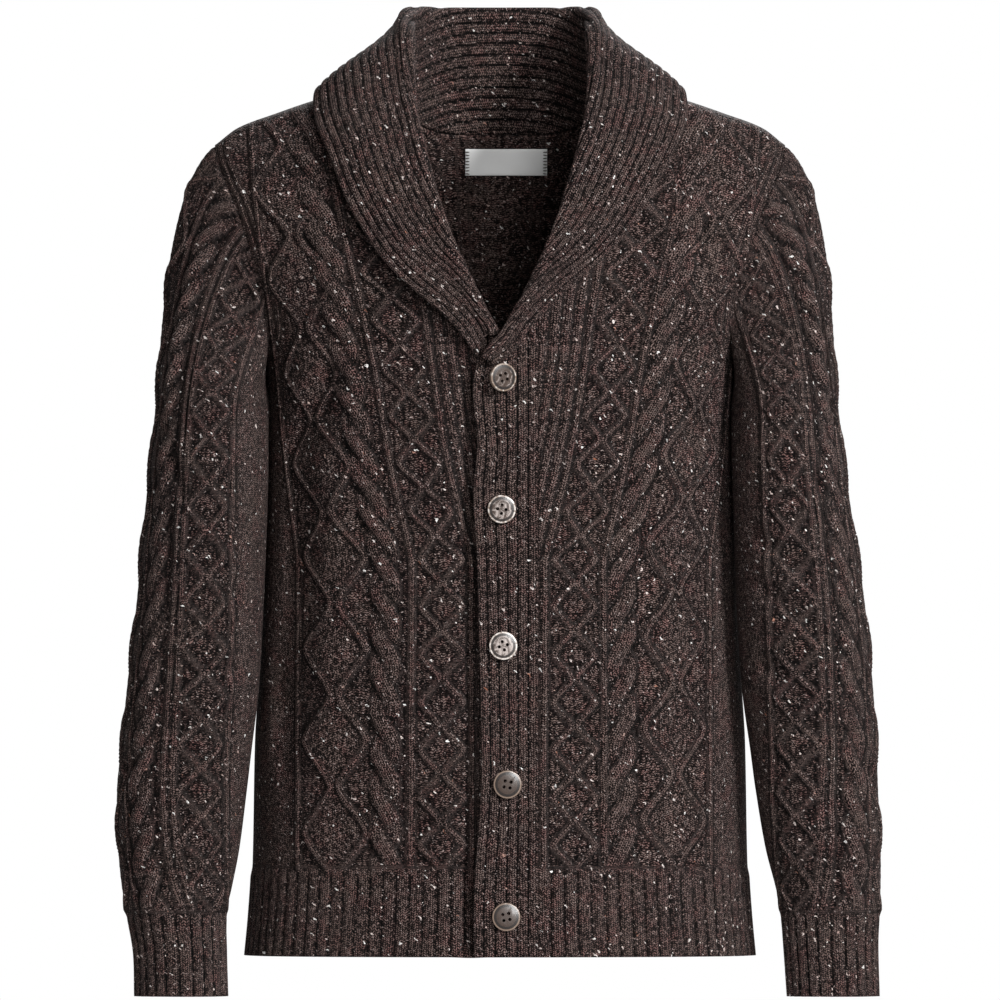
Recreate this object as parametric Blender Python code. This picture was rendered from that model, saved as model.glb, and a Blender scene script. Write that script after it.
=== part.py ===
"""A shawl collar cardigan in cable knit, filled out as when it is worn.

+Z is up, the front faces -Y, and the origin is the base of the neck, between the
shoulder points. Lengths are in millimetres, and meshes are written in metres.
Every cloth piece is one wall: a plain inner face, and an outer face whose points
are raised where the knit has ribs, rope cables, lattices and diamonds. A piece is
laid out flat, in millimetres along and across its knitting, its points are joined
by a constrained triangulation, and a placing function bends the sheet to its form.
"""
import math
from bisect import bisect_right

import bmesh
import bpy
from mathutils import Vector
from mathutils.geometry import delaunay_2d_cdt

MM = 0.001

# ---- driving sizes, in millimetres ----
WALL = 3.0                  # thickness of the plain knit
SEAM_GAP = 0.3              # pieces stand this far apart along a seam
BAND_AXIS = 6.4             # the centre of the button bands, across
BAND_HALF = 24.0            # half the width of a band
HEM = -672.0                # the bottom of the body
HEM_RIB_TOP = -606.0
HEM_RIB_PITCH = 10.0
UNDERARM = -197.0           # where the side seam meets the armhole
CUFF_LENGTH = 64.0
CUFF_RIB_PITCH = 9.6
OVERLAP_LIFT = 5.4          # the over band rides this far outside the under band
OVERLAP_FADE = 75.0         # the worn left front comes down to the body over this width

TORSO_POWER = 2.4           # roundness of the body's sections
SLEEVE_POWER = 2.2

ROPE_REPEAT, ROPE_HALF, ROPE_RISE = 32.0, 12.5, 3.0
LATTICE_REPEAT, LATTICE_HALF, LATTICE_RISE = 38.0, 16.0, 2.2
DIAMOND_REPEAT, DIAMOND_HALF, DIAMOND_RISE = 73.2, 26.0, 2.6
MOSS_RISE = 0.7             # the moss knit inside a diamond
RIB_RISE, RIB_HALF = 1.9, 3.2


def table(columns, *rows):
    """A short table: each named column is a list down its rows."""
    return {name: [row[i] for row in rows] for i, name in enumerate(columns.split())}


def read(rows, column, at):
    """A column's value at a place along the table's first column, on a smooth curve."""
    keys = next(iter(rows.values()))
    values = rows[column]
    if at <= keys[0]:
        return values[0]
    if at >= keys[-1]:
        return values[-1]
    i = bisect_right(keys, at) - 1
    width = keys[i + 1] - keys[i]
    t = (at - keys[i]) / width

    def slope(k):
        low, high = max(k - 1, 0), min(k + 1, len(keys) - 1)
        return (values[high] - values[low]) / (keys[high] - keys[low])

    return ((2 * t ** 3 - 3 * t ** 2 + 1) * values[i] + (t ** 3 - 2 * t ** 2 + t) * width * slope(i)
            + (3 * t ** 2 - 2 * t ** 3) * values[i + 1] + (t ** 3 - t ** 2) * width * slope(i + 1))


def ease(low, high, x):
    t = min(max((x - low) / (high - low), 0.0), 1.0)
    return t * t * (3 - 2 * t)


def spread(low, high, spacing):
    """Places from low to high, both in, about this far apart."""
    count = max(1, round(abs(high - low) / spacing))
    return [low + (high - low) * i / count for i in range(count + 1)]


# ---- the body's form ----
FRONT, BACK = -1, 1

TORSO = table(
    "height half_width front_depth back_depth",
    (-672, 203, 122, 108), (-640, 199.5, 120, 107), (-600, 197, 119, 106), (-500, 194, 118, 105),
    (-458, 190, 118, 105), (-400, 186.5, 118, 105), (-300, 185, 120, 107), (-230, 185.5, 122, 110),
    (-197, 190, 122, 111), (-178, 196.8, 121, 112), (-160, 203.8, 120, 112), (-135, 212, 119, 112),
    (-100, 225, 118, 111), (-69, 235, 118, 110), (-45, 241, 118, 110), (-26, 244, 118, 110),
    (40, 246, 118, 110))

SHOULDER_LINE = table(
    "across height", (0, 31), (60, 29), (85, 24), (115, 19), (146, 10), (180, -4), (228, -26),
    (250, -38))
SHOULDER_TIP = 228.0
NECK_POINT = 86.0           # across, where the shoulder seam meets the collar

# how far below the shoulder line the chest and the upper back come forward and back
SHOULDER_ROUND = {FRONT: (220.0, 1.9), BACK: (150.0, 2.0)}

ARMHOLE = table(            # share: how far across the body's half width the seam lies
    "height share", (-197, 1.0), (-190, .975), (-178, .935), (-160, .910), (-135, .896),
    (-100, .898), (-69, .906), (-45, .925), (-26, .9345))

FOLDS = table(              # soft folds of the body: a trough where depth is below zero
    "face across height run_across run_height width depth",
    (FRONT, -158, -380, 6, 150, 16, -2.2), (FRONT, -150, -250, 22, 60, 14, -2.0),
    (FRONT, 152, -300, -10, 120, 16, -1.8), (FRONT, 60, -560, 14, 70, 16, -1.4),
    (FRONT, -70, -580, -8, 60, 16, -1.4), (BACK, -140, -260, 45, 80, 20, -2.2),
    (BACK, 136, -270, -40, 90, 20, -2.2), (BACK, 10, -420, 60, 45, 24, -2.0),
    (BACK, -60, -540, 40, 60, 22, -1.8))


# Half the collar, from the centre back (at 0) past the shoulder to the end of the lapel. The seam
# is where it is sewn to the body, the fold is its turned top, the edge its free outer edge; the
# turn is the fold's radius, and the bulge is how far the fall crowns.
STATIONS = table(
    "at face seam_x seam_z fold_x fold_y fold_z edge_x edge_z stand_off turn bulge",
    (0, BACK, 0, -15, 0, 90, 86, 0, -25, 8, 6.0, 2),
    (22, BACK, 22, -15, 22, 89, 86, 31, -24, 8, 6.0, 2),
    (45, BACK, 44, -14, 43, 84, 86, 64, -20, 8, 6.0, 2),
    (67, BACK, 62, -9, 59, 70, 86, 94, -11, 8, 6.0, 3),
    (89, BACK, 76, 2, 68, 48, 85, 119, 2, 7.5, 6.0, 4),
    (110, BACK, 83, 13, 70, 28, 82, 136, 9, 7.5, 6.0, 5),
    (131, FRONT, 86, 23.9, 70, 6, 75, 145, 11, 7.5, 6.0, 6),
    (153, FRONT, 86, 14, 69, -18, 65, 147, 3, 7.5, 6.0, 7),
    (176, FRONT, 86, 0, 68.5, -36, 45, 146, -8, 7.5, 6.0, 7),
    (200, FRONT, 85, -18, 68, -56, 22, 142, -20, 7.5, 6.0, 7),
    (226, FRONT, 82, -38, 65, -75, -4, 134, -37, 7.5, 5.6, 6),
    (254, FRONT, 77, -60, 58, -92, -34, 120, -63, 7.5, 5.4, 5),
    (292, FRONT, 66, -88, 46, -110, -76, 101, -93, 7.5, 5.2, 4),
    (320, FRONT, 54, -108, 36, -119, -103, 81, -115, 7.5, 5.0, 3),
    (345, FRONT, 42, -125, 26, -123, -125, 59, -134, 7.2, 4.8, 2),
    (370, FRONT, 30, -143, 16, -127, -146, 39, -153, 6.8, 4.6, 1.5),
    (392, FRONT, 18, -160, 7, -130, -165, 25, -170, 6.2, 4.4, 1),
    (406, FRONT, 10, -174, 1, -131, -176, 13, -187, 6.0, 4.2, 1))
SHOULDER_STATION = 131
LAST_STATION = 405.0


def shoulder_height(x):
    return read(SHOULDER_LINE, "height", abs(x))


def fold_depth(face, x, z):
    """How far the soft folds move the body's face at this place, outwards."""
    depth = 0.0
    for row in zip(*FOLDS.values()):
        side, across, height, run_x, run_z, width, rise = row
        if side != face:
            continue
        length = math.hypot(run_x, run_z)
        along = ((x - across) * run_x + (z - height) * run_z) / length
        aside = ((x - across) * run_z - (z - height) * run_x) / length
        depth += rise * math.exp(-(aside / width) ** 2) * (1 - ease(0.45, 1.0, abs(along) / length))
    return depth


def overlap_lift(x):
    """How far the worn left front and its band lie outside the under band's level."""
    start = BAND_AXIS + BAND_HALF
    return OVERLAP_LIFT * (1 - ease(start, start + OVERLAP_FADE, x))


def torso_point(face, angle, z, lifted=False):
    """A point of the body's plain outer face: the angle runs from the centre to the side seam.

    The worn left front is lifted, because it laps over the right one.
    """
    half_width = read(TORSO, "half_width", z)
    depth = read(TORSO, "front_depth" if face == FRONT else "back_depth", z)
    share = abs(math.sin(angle)) ** (2 / TORSO_POWER)
    inward = max(math.cos(angle), 0.0) ** (2 / TORSO_POWER)
    x = math.copysign(half_width * share, angle)
    reach, power = SHOULDER_ROUND[face]
    below = min(max(shoulder_height(x) - z, 0.0) / reach, 1.0)
    rounding = (1 - (1 - below) ** power) ** (1 / power)
    y = depth * inward * rounding
    if y > 1.0:
        y += (fold_depth(face, x, z) + (overlap_lift(x) if lifted else 0.0)) * ease(0, 40, y)
    return Vector((x, face * max(y, SEAM_GAP / 2), z))


def angle_at(x, z):
    share = min(abs(x) / read(TORSO, "half_width", z), 1.0)
    return math.copysign(math.asin(share ** (TORSO_POWER / 2)), x)


# The flat layout of the body runs along an arc of this section, so that nothing is squeezed
# where the cloth turns back to the side seams.
ARC_STEPS = 240
ARC_ANGLES = [math.pi / 2 * i / ARC_STEPS for i in range(ARC_STEPS + 1)]
ARC = [0.0]
for low, high in zip(ARC_ANGLES, ARC_ANGLES[1:]):
    run = torso_point(FRONT, high, -300) - torso_point(FRONT, low, -300)
    ARC.append(ARC[-1] + math.hypot(run.x, run.y))
SIDE = ARC[-1]


def interpolate(keys, values, at):
    i = min(max(bisect_right(keys, at) - 1, 0), len(keys) - 2)
    t = min(max((at - keys[i]) / (keys[i + 1] - keys[i]), 0.0), 1.0)
    return values[i] + (values[i + 1] - values[i]) * t


def flat_of(x, z):
    """How far out the flat layout has a place of the body, given as it is seen from the front."""
    return math.copysign(interpolate(ARC_ANGLES, ARC, abs(angle_at(x, z))), x)


def torso_from_flat(face, flat, z, lifted=False):
    angle = math.copysign(interpolate(ARC, ARC_ANGLES, abs(flat)), flat)
    return torso_point(face, angle, z, lifted)


def sheet_normal(surface, u, v, step=1.0):
    across = surface(u + step, v) - surface(u - step, v)
    along = surface(u, v + step) - surface(u, v - step)
    return across.cross(along).normalized()


def torso_sheet(face, lifted=False):
    """The placing function of a body piece: flat place and height above the plain face."""
    def surface(flat, z):
        return torso_from_flat(face, flat, z, lifted)

    def place(flat, z, rise):
        point = surface(flat, z)
        normal = sheet_normal(surface, flat, z) * -face
        on_ridge = z > shoulder_height(point.x) - 0.6
        if on_ridge or abs(flat) > SIDE - 0.6:
            normal.y = 0.0
            normal.normalize()
        return point + normal * rise
    return place


def neck_stations():
    """Where the collar and the pieces it is sewn to share their points, along half the collar."""
    return (spread(0, 45, 23) + spread(45, SHOULDER_STATION, 17)[1:]
            + spread(SHOULDER_STATION, 309, 24)[1:] + spread(309, LAST_STATION, 14)[1:])


def neck_place(side, at):
    """The collar seam at a station, in the flat layout of the body."""
    x = side * read(STATIONS, "seam_x", at)
    z = min(read(STATIONS, "seam_z", at), shoulder_height(x))
    return flat_of(x, z), z


def neck_at(across):
    """The station of a front at which the collar seam comes this close to the centre."""
    low, high = float(SHOULDER_STATION), LAST_STATION
    for _ in range(40):
        middle = (low + high) / 2
        if read(STATIONS, "seam_x", middle) > across:
            low = middle
        else:
            high = middle
    return low


# ---- laying out a piece and making its wall ----
class Layout:
    """Flat points, each with its rise above the plain face, and the edges that must stay."""

    def __init__(self, outline, rises=None):
        self.outline = outline
        self.points = list(outline)
        self.rises = list(rises or [0.0] * len(outline))
        self.edges = []
        self.cells = {}
        for i, point in enumerate(outline):
            self.cells.setdefault(self.cell(point), []).append(i)

    @staticmethod
    def cell(point):
        return int(point[0] // 4), int(point[1] // 4)

    def inside(self, point, margin):
        x, y = point
        crossings = 0
        for (ax, ay), (bx, by) in zip(self.outline, self.outline[1:] + self.outline[:1]):
            if (ay > y) != (by > y) and x < ax + (y - ay) * (bx - ax) / (by - ay):
                crossings += 1
            length_squared = (bx - ax) ** 2 + (by - ay) ** 2 or 1e-9
            t = min(max(((x - ax) * (bx - ax) + (y - ay) * (by - ay)) / length_squared, 0), 1)
            if math.hypot(x - ax - t * (bx - ax), y - ay - t * (by - ay)) < margin:
                return False
        return crossings % 2 == 1

    def add(self, u, v, rise, margin=3.0, apart=2.2):
        """Adds a point inside the piece and returns its number, or a near point's number."""
        column, row = self.cell((u, v))
        for near in ((column + i, row + j) for i in (-1, 0, 1) for j in (-1, 0, 1)):
            for k in self.cells.get(near, ()):
                if k >= len(self.outline) and math.dist(self.points[k], (u, v)) < apart:
                    return k
        if not self.inside((u, v), margin):
            return None
        self.points.append((u, v))
        self.rises.append(rise)
        self.cells.setdefault((column, row), []).append(len(self.points) - 1)
        return len(self.points) - 1

    def line(self, places, margin=3.0, apart=2.2):
        """Points joined in a row by edges that the triangulation keeps."""
        last = None
        for u, v, rise in places:
            now = self.add(u, v, rise, margin, apart)
            if last is not None and now is not None and last != now:
                self.edges.append((last, now))
            last = now

    def triangles(self):
        """Flat points, their rises, the triangles inside the outline, and the outline's order."""
        border = list(range(len(self.outline)))
        turn = sum(ax * by - bx * ay for (ax, ay), (bx, by)
                   in zip(self.outline, self.outline[1:] + self.outline[:1]))
        if turn < 0:
            border.reverse()
        points = [Vector(point) for point in self.points]
        flat, _, faces, sources, _, owners = delaunay_2d_cdt(points, self.edges, [border], 1,
                                                             1e-5, True)
        rises = [self.rises[source[0]] if source else 0.5 * max(self.rises)
                 for source in sources]
        order = {source[0]: i for i, source in enumerate(sources) if source}
        kept = [tuple(face) for face, owner in zip(faces, owners) if owner]
        return [tuple(point) for point in flat], rises, kept, order


def wall_mesh(name, outer, inner, place, wall=WALL, weld=(), inner_place=None):
    """Joins the outer and the inner sheet of a piece along their common outline."""
    mesh = bpy.data.meshes.new(name)
    shell = bmesh.new()
    sheets = []
    for layout, depth, put in ((outer, 0.0, place), (inner, -wall, inner_place or place)):
        flat, rises, faces, order = layout.triangles()
        made = [shell.verts.new(put(u, v, rise + depth) * MM)
                for (u, v), rise in zip(flat, rises)]
        for face in faces:
            shell.faces.new([made[i] for i in face])
        sheets.append([made[order[i]] for i in range(len(layout.outline))])
    front, back = sheets
    count = len(front)
    skipped = set(weld)
    for i in range(count):
        j = (i + 1) % count
        if (i, j) not in skipped:
            shell.faces.new((front[i], front[j], back[j], back[i]))
    if weld:
        bmesh.ops.remove_doubles(shell, verts=shell.verts, dist=1e-6)
    bmesh.ops.triangulate(shell, faces=shell.faces)
    bmesh.ops.recalc_face_normals(shell, faces=shell.faces)
    shell.to_mesh(mesh)
    shell.free()
    return mesh


# ---- the knit's motifs: each is laid out about a centre line that may lean ----
def heights(low, high):
    """Places up a straight line of knitting, closer where it nears a shoulder."""
    return spread(low, high - 60, 50) + [high - 34, high - 16, high - 4, high + 8]


def rope(layout, centre, low, high, lean=1.0, half=ROPE_HALF, rise=ROPE_RISE):
    """A rope cable: slanted lobes, one after another, between two plain lines."""
    slant = 6.0 * lean
    count = int((high - low) / ROPE_REPEAT * 2)
    for i in range(count + 1):
        z = low + i * ROPE_REPEAT / 2
        top = rise if i % 2 else 0.35 * rise
        layout.line([(centre(z + slant * k) + k * half * 0.62, z + slant * k, top)
                     for k in (-1, 1)])
    for k in (-1, 1):
        layout.line([(centre(z) + k * half, z, 0.0)
                     for z in heights(low, high)])


def lattice(layout, centre, low, high, half=LATTICE_HALF, rise=LATTICE_RISE):
    """A lattice: crossed travelling stitches, a row of lozenges inside a ladder."""
    for side in (-1, 1):
        places = []
        for i in range(int((high - low) / LATTICE_REPEAT * 2) + 1):
            z = low + i * LATTICE_REPEAT / 2
            offset = side * half if i % 2 else side * 1.6
            places.append((centre(z) + offset, z, rise))
        layout.line(places, apart=1.0)
    for i in range(int((high - low) / LATTICE_REPEAT * 2) + 1):
        z = low + i * LATTICE_REPEAT / 2
        for offset in ((0.0,) if i % 2 else (-half, half)):
            layout.add(centre(z) + offset, z, 0.0)


def diamond(layout, centre, low, high, widest, half=DIAMOND_HALF, foot=True):
    """Big diamonds: two travelling ridges that cross, with moss knit between them."""
    quarter = DIAMOND_REPEAT / 4
    first = math.ceil((low - widest) / quarter)
    last = math.floor((high - widest) / quarter)
    for side in (-1, 1):
        ridge, outside, inside = [], [], []
        for i in range(first, last + 1):
            z = widest + i * quarter
            apart = (half, half * 0.56, 3.2, half * 0.56)[i % 4]
            place = centre(z) + side * apart
            ridge.append((place, z, DIAMOND_RISE))
            outside.append((place + side * 5.0, z, 0.0))
            if apart > 10:
                inside.append((place - side * 5.5, z, MOSS_RISE))
            else:
                inside.append((centre(z) + side * 0.8, z, DIAMOND_RISE * 0.4))
            if side > 0 and apart == half:
                layout.add(centre(z), z, MOSS_RISE)
        layout.line(ridge, apart=0.5)
        if foot:
            layout.line(outside)
        layout.line(inside, apart=1.0)


def ribs(layout, lines, low, high, half=RIB_HALF):
    """Raised rib stitches: each line is the crest of one, as a function of height."""
    for crest in lines:
        for offset, top in ((-half, 0.0), (0.0, RIB_RISE), (half, 0.0)):
            layout.line([(crest(z) + offset, z, top) for z in heights(low, high)],
                        margin=2.4, apart=1.6)


def rib_band(layout, count, top, narrow=1.0):
    """A deep rib at a hem or a cuff, up from the outline's first points, which are its edge."""
    for i in range(1, count - 1):
        place, rise = layout.outline[i][0], layout.rises[i]
        end = layout.add(place * narrow, top - (7.0 if rise else 5.0), rise, apart=0.8)
        if end is not None:
            layout.edges.append((i, end))


def rib_edge(grooves, rise=RIB_RISE):
    """The scalloped edge of a deep rib: places and rises from one end to the other."""
    places = [(grooves[0], 0.0)]
    for low, high in zip(grooves, grooves[1:]):
        places += [((low + high) / 2, rise), (high, 0.0)]
    return places


def plain(layout, us, vs, margin=9.0, apart=13.0):
    """Sparse points where the knit is plain."""
    for u in us:
        for v in vs:
            layout.add(u, v, 0.0, margin, apart)


# ---- the body pieces ----
def shoulder_rows(layout, side, depths=(7.0, 21.0)):
    """Plain points just below the shoulder line, where the cloth turns over it."""
    for below in depths:
        for x in spread(98, 214, 20):
            z = shoulder_height(x) - below
            layout.add(flat_of(side * x, z), z, 0.0, 4.0, 8.0)


FAN = table(                # the cables lean outwards as they near the shoulder
    "height lean", (-356, 0), (-316, 9.6), (-274, 19), (-220, 28), (-161, 38), (-105, 49),
    (-49, 58), (0, 62), (30, 63))

FRONT_MOTIFS = {            # from the band's centre, as seen: lattice, rope, diamond, edge rib
    -1: {"lattice": 52.8, "rope": 97.6, "diamond": 138.0, "edge": 163.0, "widest": -573.0},
    1: {"lattice": 52.8, "rope": 90.0, "diamond": 133.0, "edge": 157.0, "widest": -563.0},
}
FAN_SHARE = {"lattice": 1.0, "rope": 1.0, "diamond": 0.65, "edge": 0.6}
BACK_MOTIFS = {"lattice": 0.0, "rope": 46.0, "diamond": 92.0, "edge": 123.0}
WEDGE_RIB_PITCH = 8.6

ARMHOLE_POINTS = 12

# the plain neck label, on the inner face of the back
LABEL_LEFT, LABEL_RIGHT = -28.0, 38.0
LABEL_BOTTOM, LABEL_TOP = -46.0, -24.5
LABEL_THICK = 1.0


def armhole_curve(face, side):
    """Evenly spaced places along half an armhole, from the shoulder tip to the underarm."""
    fine = [ARMHOLE["height"][-1] + (UNDERARM - ARMHOLE["height"][-1])
            * (1 - math.cos(math.pi * i / 160)) / 2 for i in range(161)]
    places = []
    for z in fine:
        share = min(read(ARMHOLE, "share", z), 1.0)
        angle = math.asin(min(share, 1.0) ** (TORSO_POWER / 2))
        places.append((side * interpolate(ARC_ANGLES, ARC, angle), z))
    points = [torso_from_flat(face, *place) for place in places]
    run = [0.0]
    for a, b in zip(points, points[1:]):
        run.append(run[-1] + (b - a).length)
    chosen = []
    for i in range(ARMHOLE_POINTS + 1):
        at = run[-1] * i / ARMHOLE_POINTS
        chosen.append((interpolate(run, [p[0] for p in places], at),
                       interpolate(run, [p[1] for p in places], at)))
    chosen[0] = (chosen[0][0], shoulder_height(SHOULDER_TIP))
    chosen[-1] = (side * SIDE, UNDERARM)
    return chosen


def shoulder_seam(side):
    """Places along the shoulder line, from the neck to the armhole, both ends in."""
    places = []
    for x in spread(NECK_POINT, SHOULDER_TIP, 24):
        z = shoulder_height(x)
        places.append((flat_of(side * x, z), z))
    return places


def hem_grooves(low, high):
    return spread(low, high, HEM_RIB_PITCH)


def front_outline(side):
    """The flat outline of a front, and the rise of each of its points."""
    inner_x = BAND_AXIS + side * (BAND_HALF + SEAM_GAP / 2)
    top = front_band_top(side)
    hem = rib_edge(hem_grooves(flat_of(inner_x, HEM), side * SIDE))
    outline = [(u, HEM) for u, _ in hem]
    rises = [rise for _, rise in hem]
    seam = [(side * SIDE, z) for z in spread(HEM, UNDERARM, 58)[1:-1]]
    arm = armhole_curve(FRONT, side)[::-1]
    shoulder = shoulder_seam(side)[::-1][1:]
    end = neck_at(side * inner_x)
    neck = [neck_place(side, at) for at in neck_stations() if SHOULDER_STATION < at < end - 4]
    band = [(flat_of(inner_x, z), z) for z in spread(top, HEM, 40)[:-1]]
    for extra in (seam, arm, shoulder, neck, band):
        outline += extra
        rises += [0.0] * len(extra)
    return outline, rises


def front_band_top(side):
    """The height at which the collar seam crosses the band seam of a front."""
    return read(STATIONS, "seam_z", neck_at(BAND_AXIS * side + BAND_HALF))


def front_centre(side, motif, shift=0.0):
    """The centre line of a motif of a front: flat place as a function of height."""
    def centre(z):
        lean = read(FAN, "lean", z) * FAN_SHARE[motif]
        x = BAND_AXIS + side * (FRONT_MOTIFS[side][motif] + lean)
        limit = side * read(TORSO, "half_width", z)
        x = min(x, limit) if side > 0 else max(x, limit)
        return flat_of(x, z) + side * shift
    return centre


def front_mesh(name, side):
    outline, rises = front_outline(side)
    layout = Layout(outline, rises)
    low = HEM_RIB_TOP + 4
    inner_x = BAND_AXIS + side * (BAND_HALF + SEAM_GAP / 2)
    hem = rib_edge(hem_grooves(flat_of(inner_x, HEM), side * SIDE))
    rib_band(layout, len(hem), HEM_RIB_TOP)
    diamond(layout, front_centre(side, "diamond"), low, 0, FRONT_MOTIFS[side]["widest"])
    rope(layout, front_centre(side, "rope"), low, 5, side)
    lattice(layout, front_centre(side, "lattice"), low, 5)
    beside = [front_centre(side, "lattice", LATTICE_HALF + 7.0),
              front_centre(side, "lattice", -LATTICE_HALF - 7.0)]
    wedge = [front_centre(side, "lattice", -LATTICE_HALF - 7.0 - WEDGE_RIB_PITCH * k)
             for k in range(1, 5)]
    ribs(layout, beside, low, 5)
    ribs(layout, wedge, low, 5, half=WEDGE_RIB_PITCH / 2)
    ribs(layout, [front_centre(side, "edge", 5.0)], low, -10)
    shoulder_rows(layout, side)
    plain(layout, [side * (SIDE - u) for u in (10, 25, 42)], spread(low, UNDERARM, 50), 6, 11)
    plain(layout, [side * u for u in spread(30, SIDE - 14, 30)], spread(low, 0, 55))
    inner = Layout(outline)
    plain(inner, [side * (SIDE - u) for u in (13, 32)], spread(HEM + 50, UNDERARM, 75), 8, 12)
    plain(inner, [side * u for u in spread(40, SIDE - 55, 42)], spread(HEM + 50, 0, 84), 12, 16)
    plain(inner, [side * (SIDE - u) for u in (12, 30)], (-212, -234), 5, 9)
    shoulder_rows(inner, side, (7.0, 21.0, 42.0))
    return wall_mesh(name, layout, inner, torso_sheet(FRONT, side > 0))


def back_outline():
    hem = rib_edge(hem_grooves(-SIDE, SIDE))
    outline = [(u, HEM) for u, _ in hem]
    rises = [rise for _, rise in hem]
    for side in (1, -1):
        seam = [(side * SIDE, z) for z in spread(HEM, UNDERARM, 58)[1:-1]]
        half = seam + armhole_curve(BACK, side)[::-1] + shoulder_seam(side)[::-1][1:]
        half += [neck_place(side, at) for at in neck_stations()[::-1]
                 if 0 < at < SHOULDER_STATION]
        if side < 0:
            half.reverse()
        else:
            half.append(neck_place(side, 0))
        outline += half
        rises += [0.0] * len(half)
    return outline, rises


def back_centre(motif, side, shift=0.0):
    def centre(z):
        return side * (BACK_MOTIFS[motif] + shift)
    return centre


def back_mesh(name):
    outline, rises = back_outline()
    layout = Layout(outline, rises)
    low, high = HEM_RIB_TOP + 4, 20
    rib_band(layout, len(rib_edge(hem_grooves(-SIDE, SIDE))), HEM_RIB_TOP)
    lattice(layout, back_centre("lattice", 1), low, high)
    for side in (-1, 1):
        diamond(layout, back_centre("diamond", side), low, high, -573.0, foot=False)
        rope(layout, back_centre("rope", side), low, high, side)
        ribs(layout, [back_centre("lattice", side, LATTICE_HALF + 7.0),
                      back_centre("edge", side)], low, high)
    for side in (-1, 1):
        shoulder_rows(layout, side)
        plain(layout, [side * (SIDE - u) for u in (10, 25, 42)], spread(low, UNDERARM, 50), 6, 11)
    plain(layout, spread(-SIDE + 14, SIDE - 14, 30), spread(low, 0, 55))
    inner = Layout(outline)
    plain(inner, spread(LABEL_LEFT - 2, LABEL_RIGHT + 2, 14),
          spread(LABEL_BOTTOM - 2, LABEL_TOP + 2, 12), 1.0, 3.0)
    for side in (-1, 1):
        shoulder_rows(inner, side, (7.0, 21.0, 42.0))
        plain(inner, [side * (SIDE - u) for u in (12, 30)], (-212, -234), 5, 9)
        plain(inner, [side * (SIDE - u) for u in (13, 32)], spread(HEM + 50, -250, 75), 8, 12)
    plain(inner, spread(-SIDE + 55, SIDE - 55, 42), spread(HEM + 50, -10, 84), 12, 16)
    return wall_mesh(name, layout, inner, torso_sheet(BACK))


# ---- the button bands ----
BAND_RIBS = 6
BAND_RIB_RISE = 1.2
EDGE_WAVE = table(          # how far the over band's free edge wanders, across
    "height across", (-672, -3.5), (-614, -3.0), (-566, .5), (-520, 2.6), (-402, 0), (-357, -1),
    (-302, -4.0), (-264, -1), (-220, -4.5), (-192, 0))


def band_outline(over):
    """A band from the hem to the collar seam, its lower edge scalloped by its ribs."""
    left, right = BAND_AXIS - BAND_HALF, BAND_AXIS + BAND_HALF
    if over:
        right -= SEAM_GAP / 2
        stops = [at for at in neck_stations() if at > neck_at(right) + 3]
        top = [(right, front_band_top(1))]
        top += [(read(STATIONS, "seam_x", at), read(STATIONS, "seam_z", at)) for at in stops]
        top += [(3.0, -179.0), (-4.0, -183.0), (-9.0, -187.5), (left + 2.5, -193.5)]
    else:
        left += SEAM_GAP / 2
        stops = [at for at in neck_stations()[::-1] if at > neck_at(-left) + 3]
        top = [(right, -196.0), (16.0, -189.0), (4.0, -182.0), (-4.0, -179.5)]
        top += [(-read(STATIONS, "seam_x", at), read(STATIONS, "seam_z", at)) for at in stops]
        top.append((left, front_band_top(-1)))
    hem = rib_edge([left + (right - left) * i / BAND_RIBS for i in range(BAND_RIBS + 1)],
                   BAND_RIB_RISE)
    outline = [(u, HEM) for u, _ in hem]
    rises = [rise for _, rise in hem]
    sides = ([(right, z) for z in spread(HEM, top[0][1], 40)[1:-1]] + top
             + [(left, z) for z in spread(top[-1][1], HEM, 40)[1:-1]])
    return outline + sides, rises + [0.0] * len(sides)


def band_mesh(name, over):
    outline, rises = band_outline(over)
    layout = Layout(outline, rises)
    left, right = BAND_AXIS - BAND_HALF, BAND_AXIS + BAND_HALF
    pitch = (right - left) / BAND_RIBS
    levels = spread(HEM + 14, -152, 56)
    for i in range(BAND_RIBS):
        start = left + i * pitch
        for share, rise in ((0.22, BAND_RIB_RISE), (0.78, BAND_RIB_RISE), (1.0, 0.0)):
            layout.line([(start + share * pitch, z, rise) for z in levels], 1.0, 0.8)
    inner = Layout(outline)
    plain(inner, (BAND_AXIS - 8, BAND_AXIS + 8), spread(HEM + 14, -230, 56), 6, 10)
    body = torso_sheet(FRONT, over)

    def place(x, z, rise):
        wander = read(EDGE_WAVE, "across", z) * ease(right - 8, left, x) if over else 0.0
        return body(flat_of(x + wander, z), z, rise)
    return wall_mesh(name, layout, inner, place)


# ---- the sleeves ----
SLEEVE_RING = -240.0        # the height at which a sleeve's rings lie level
SLEEVE_END = -704.0
SLEEVE_CAP_LENGTH = 232.0   # from that ring up to the shoulder tip, along the sleeve
UNDERARM_LENGTH = 44.0

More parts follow.
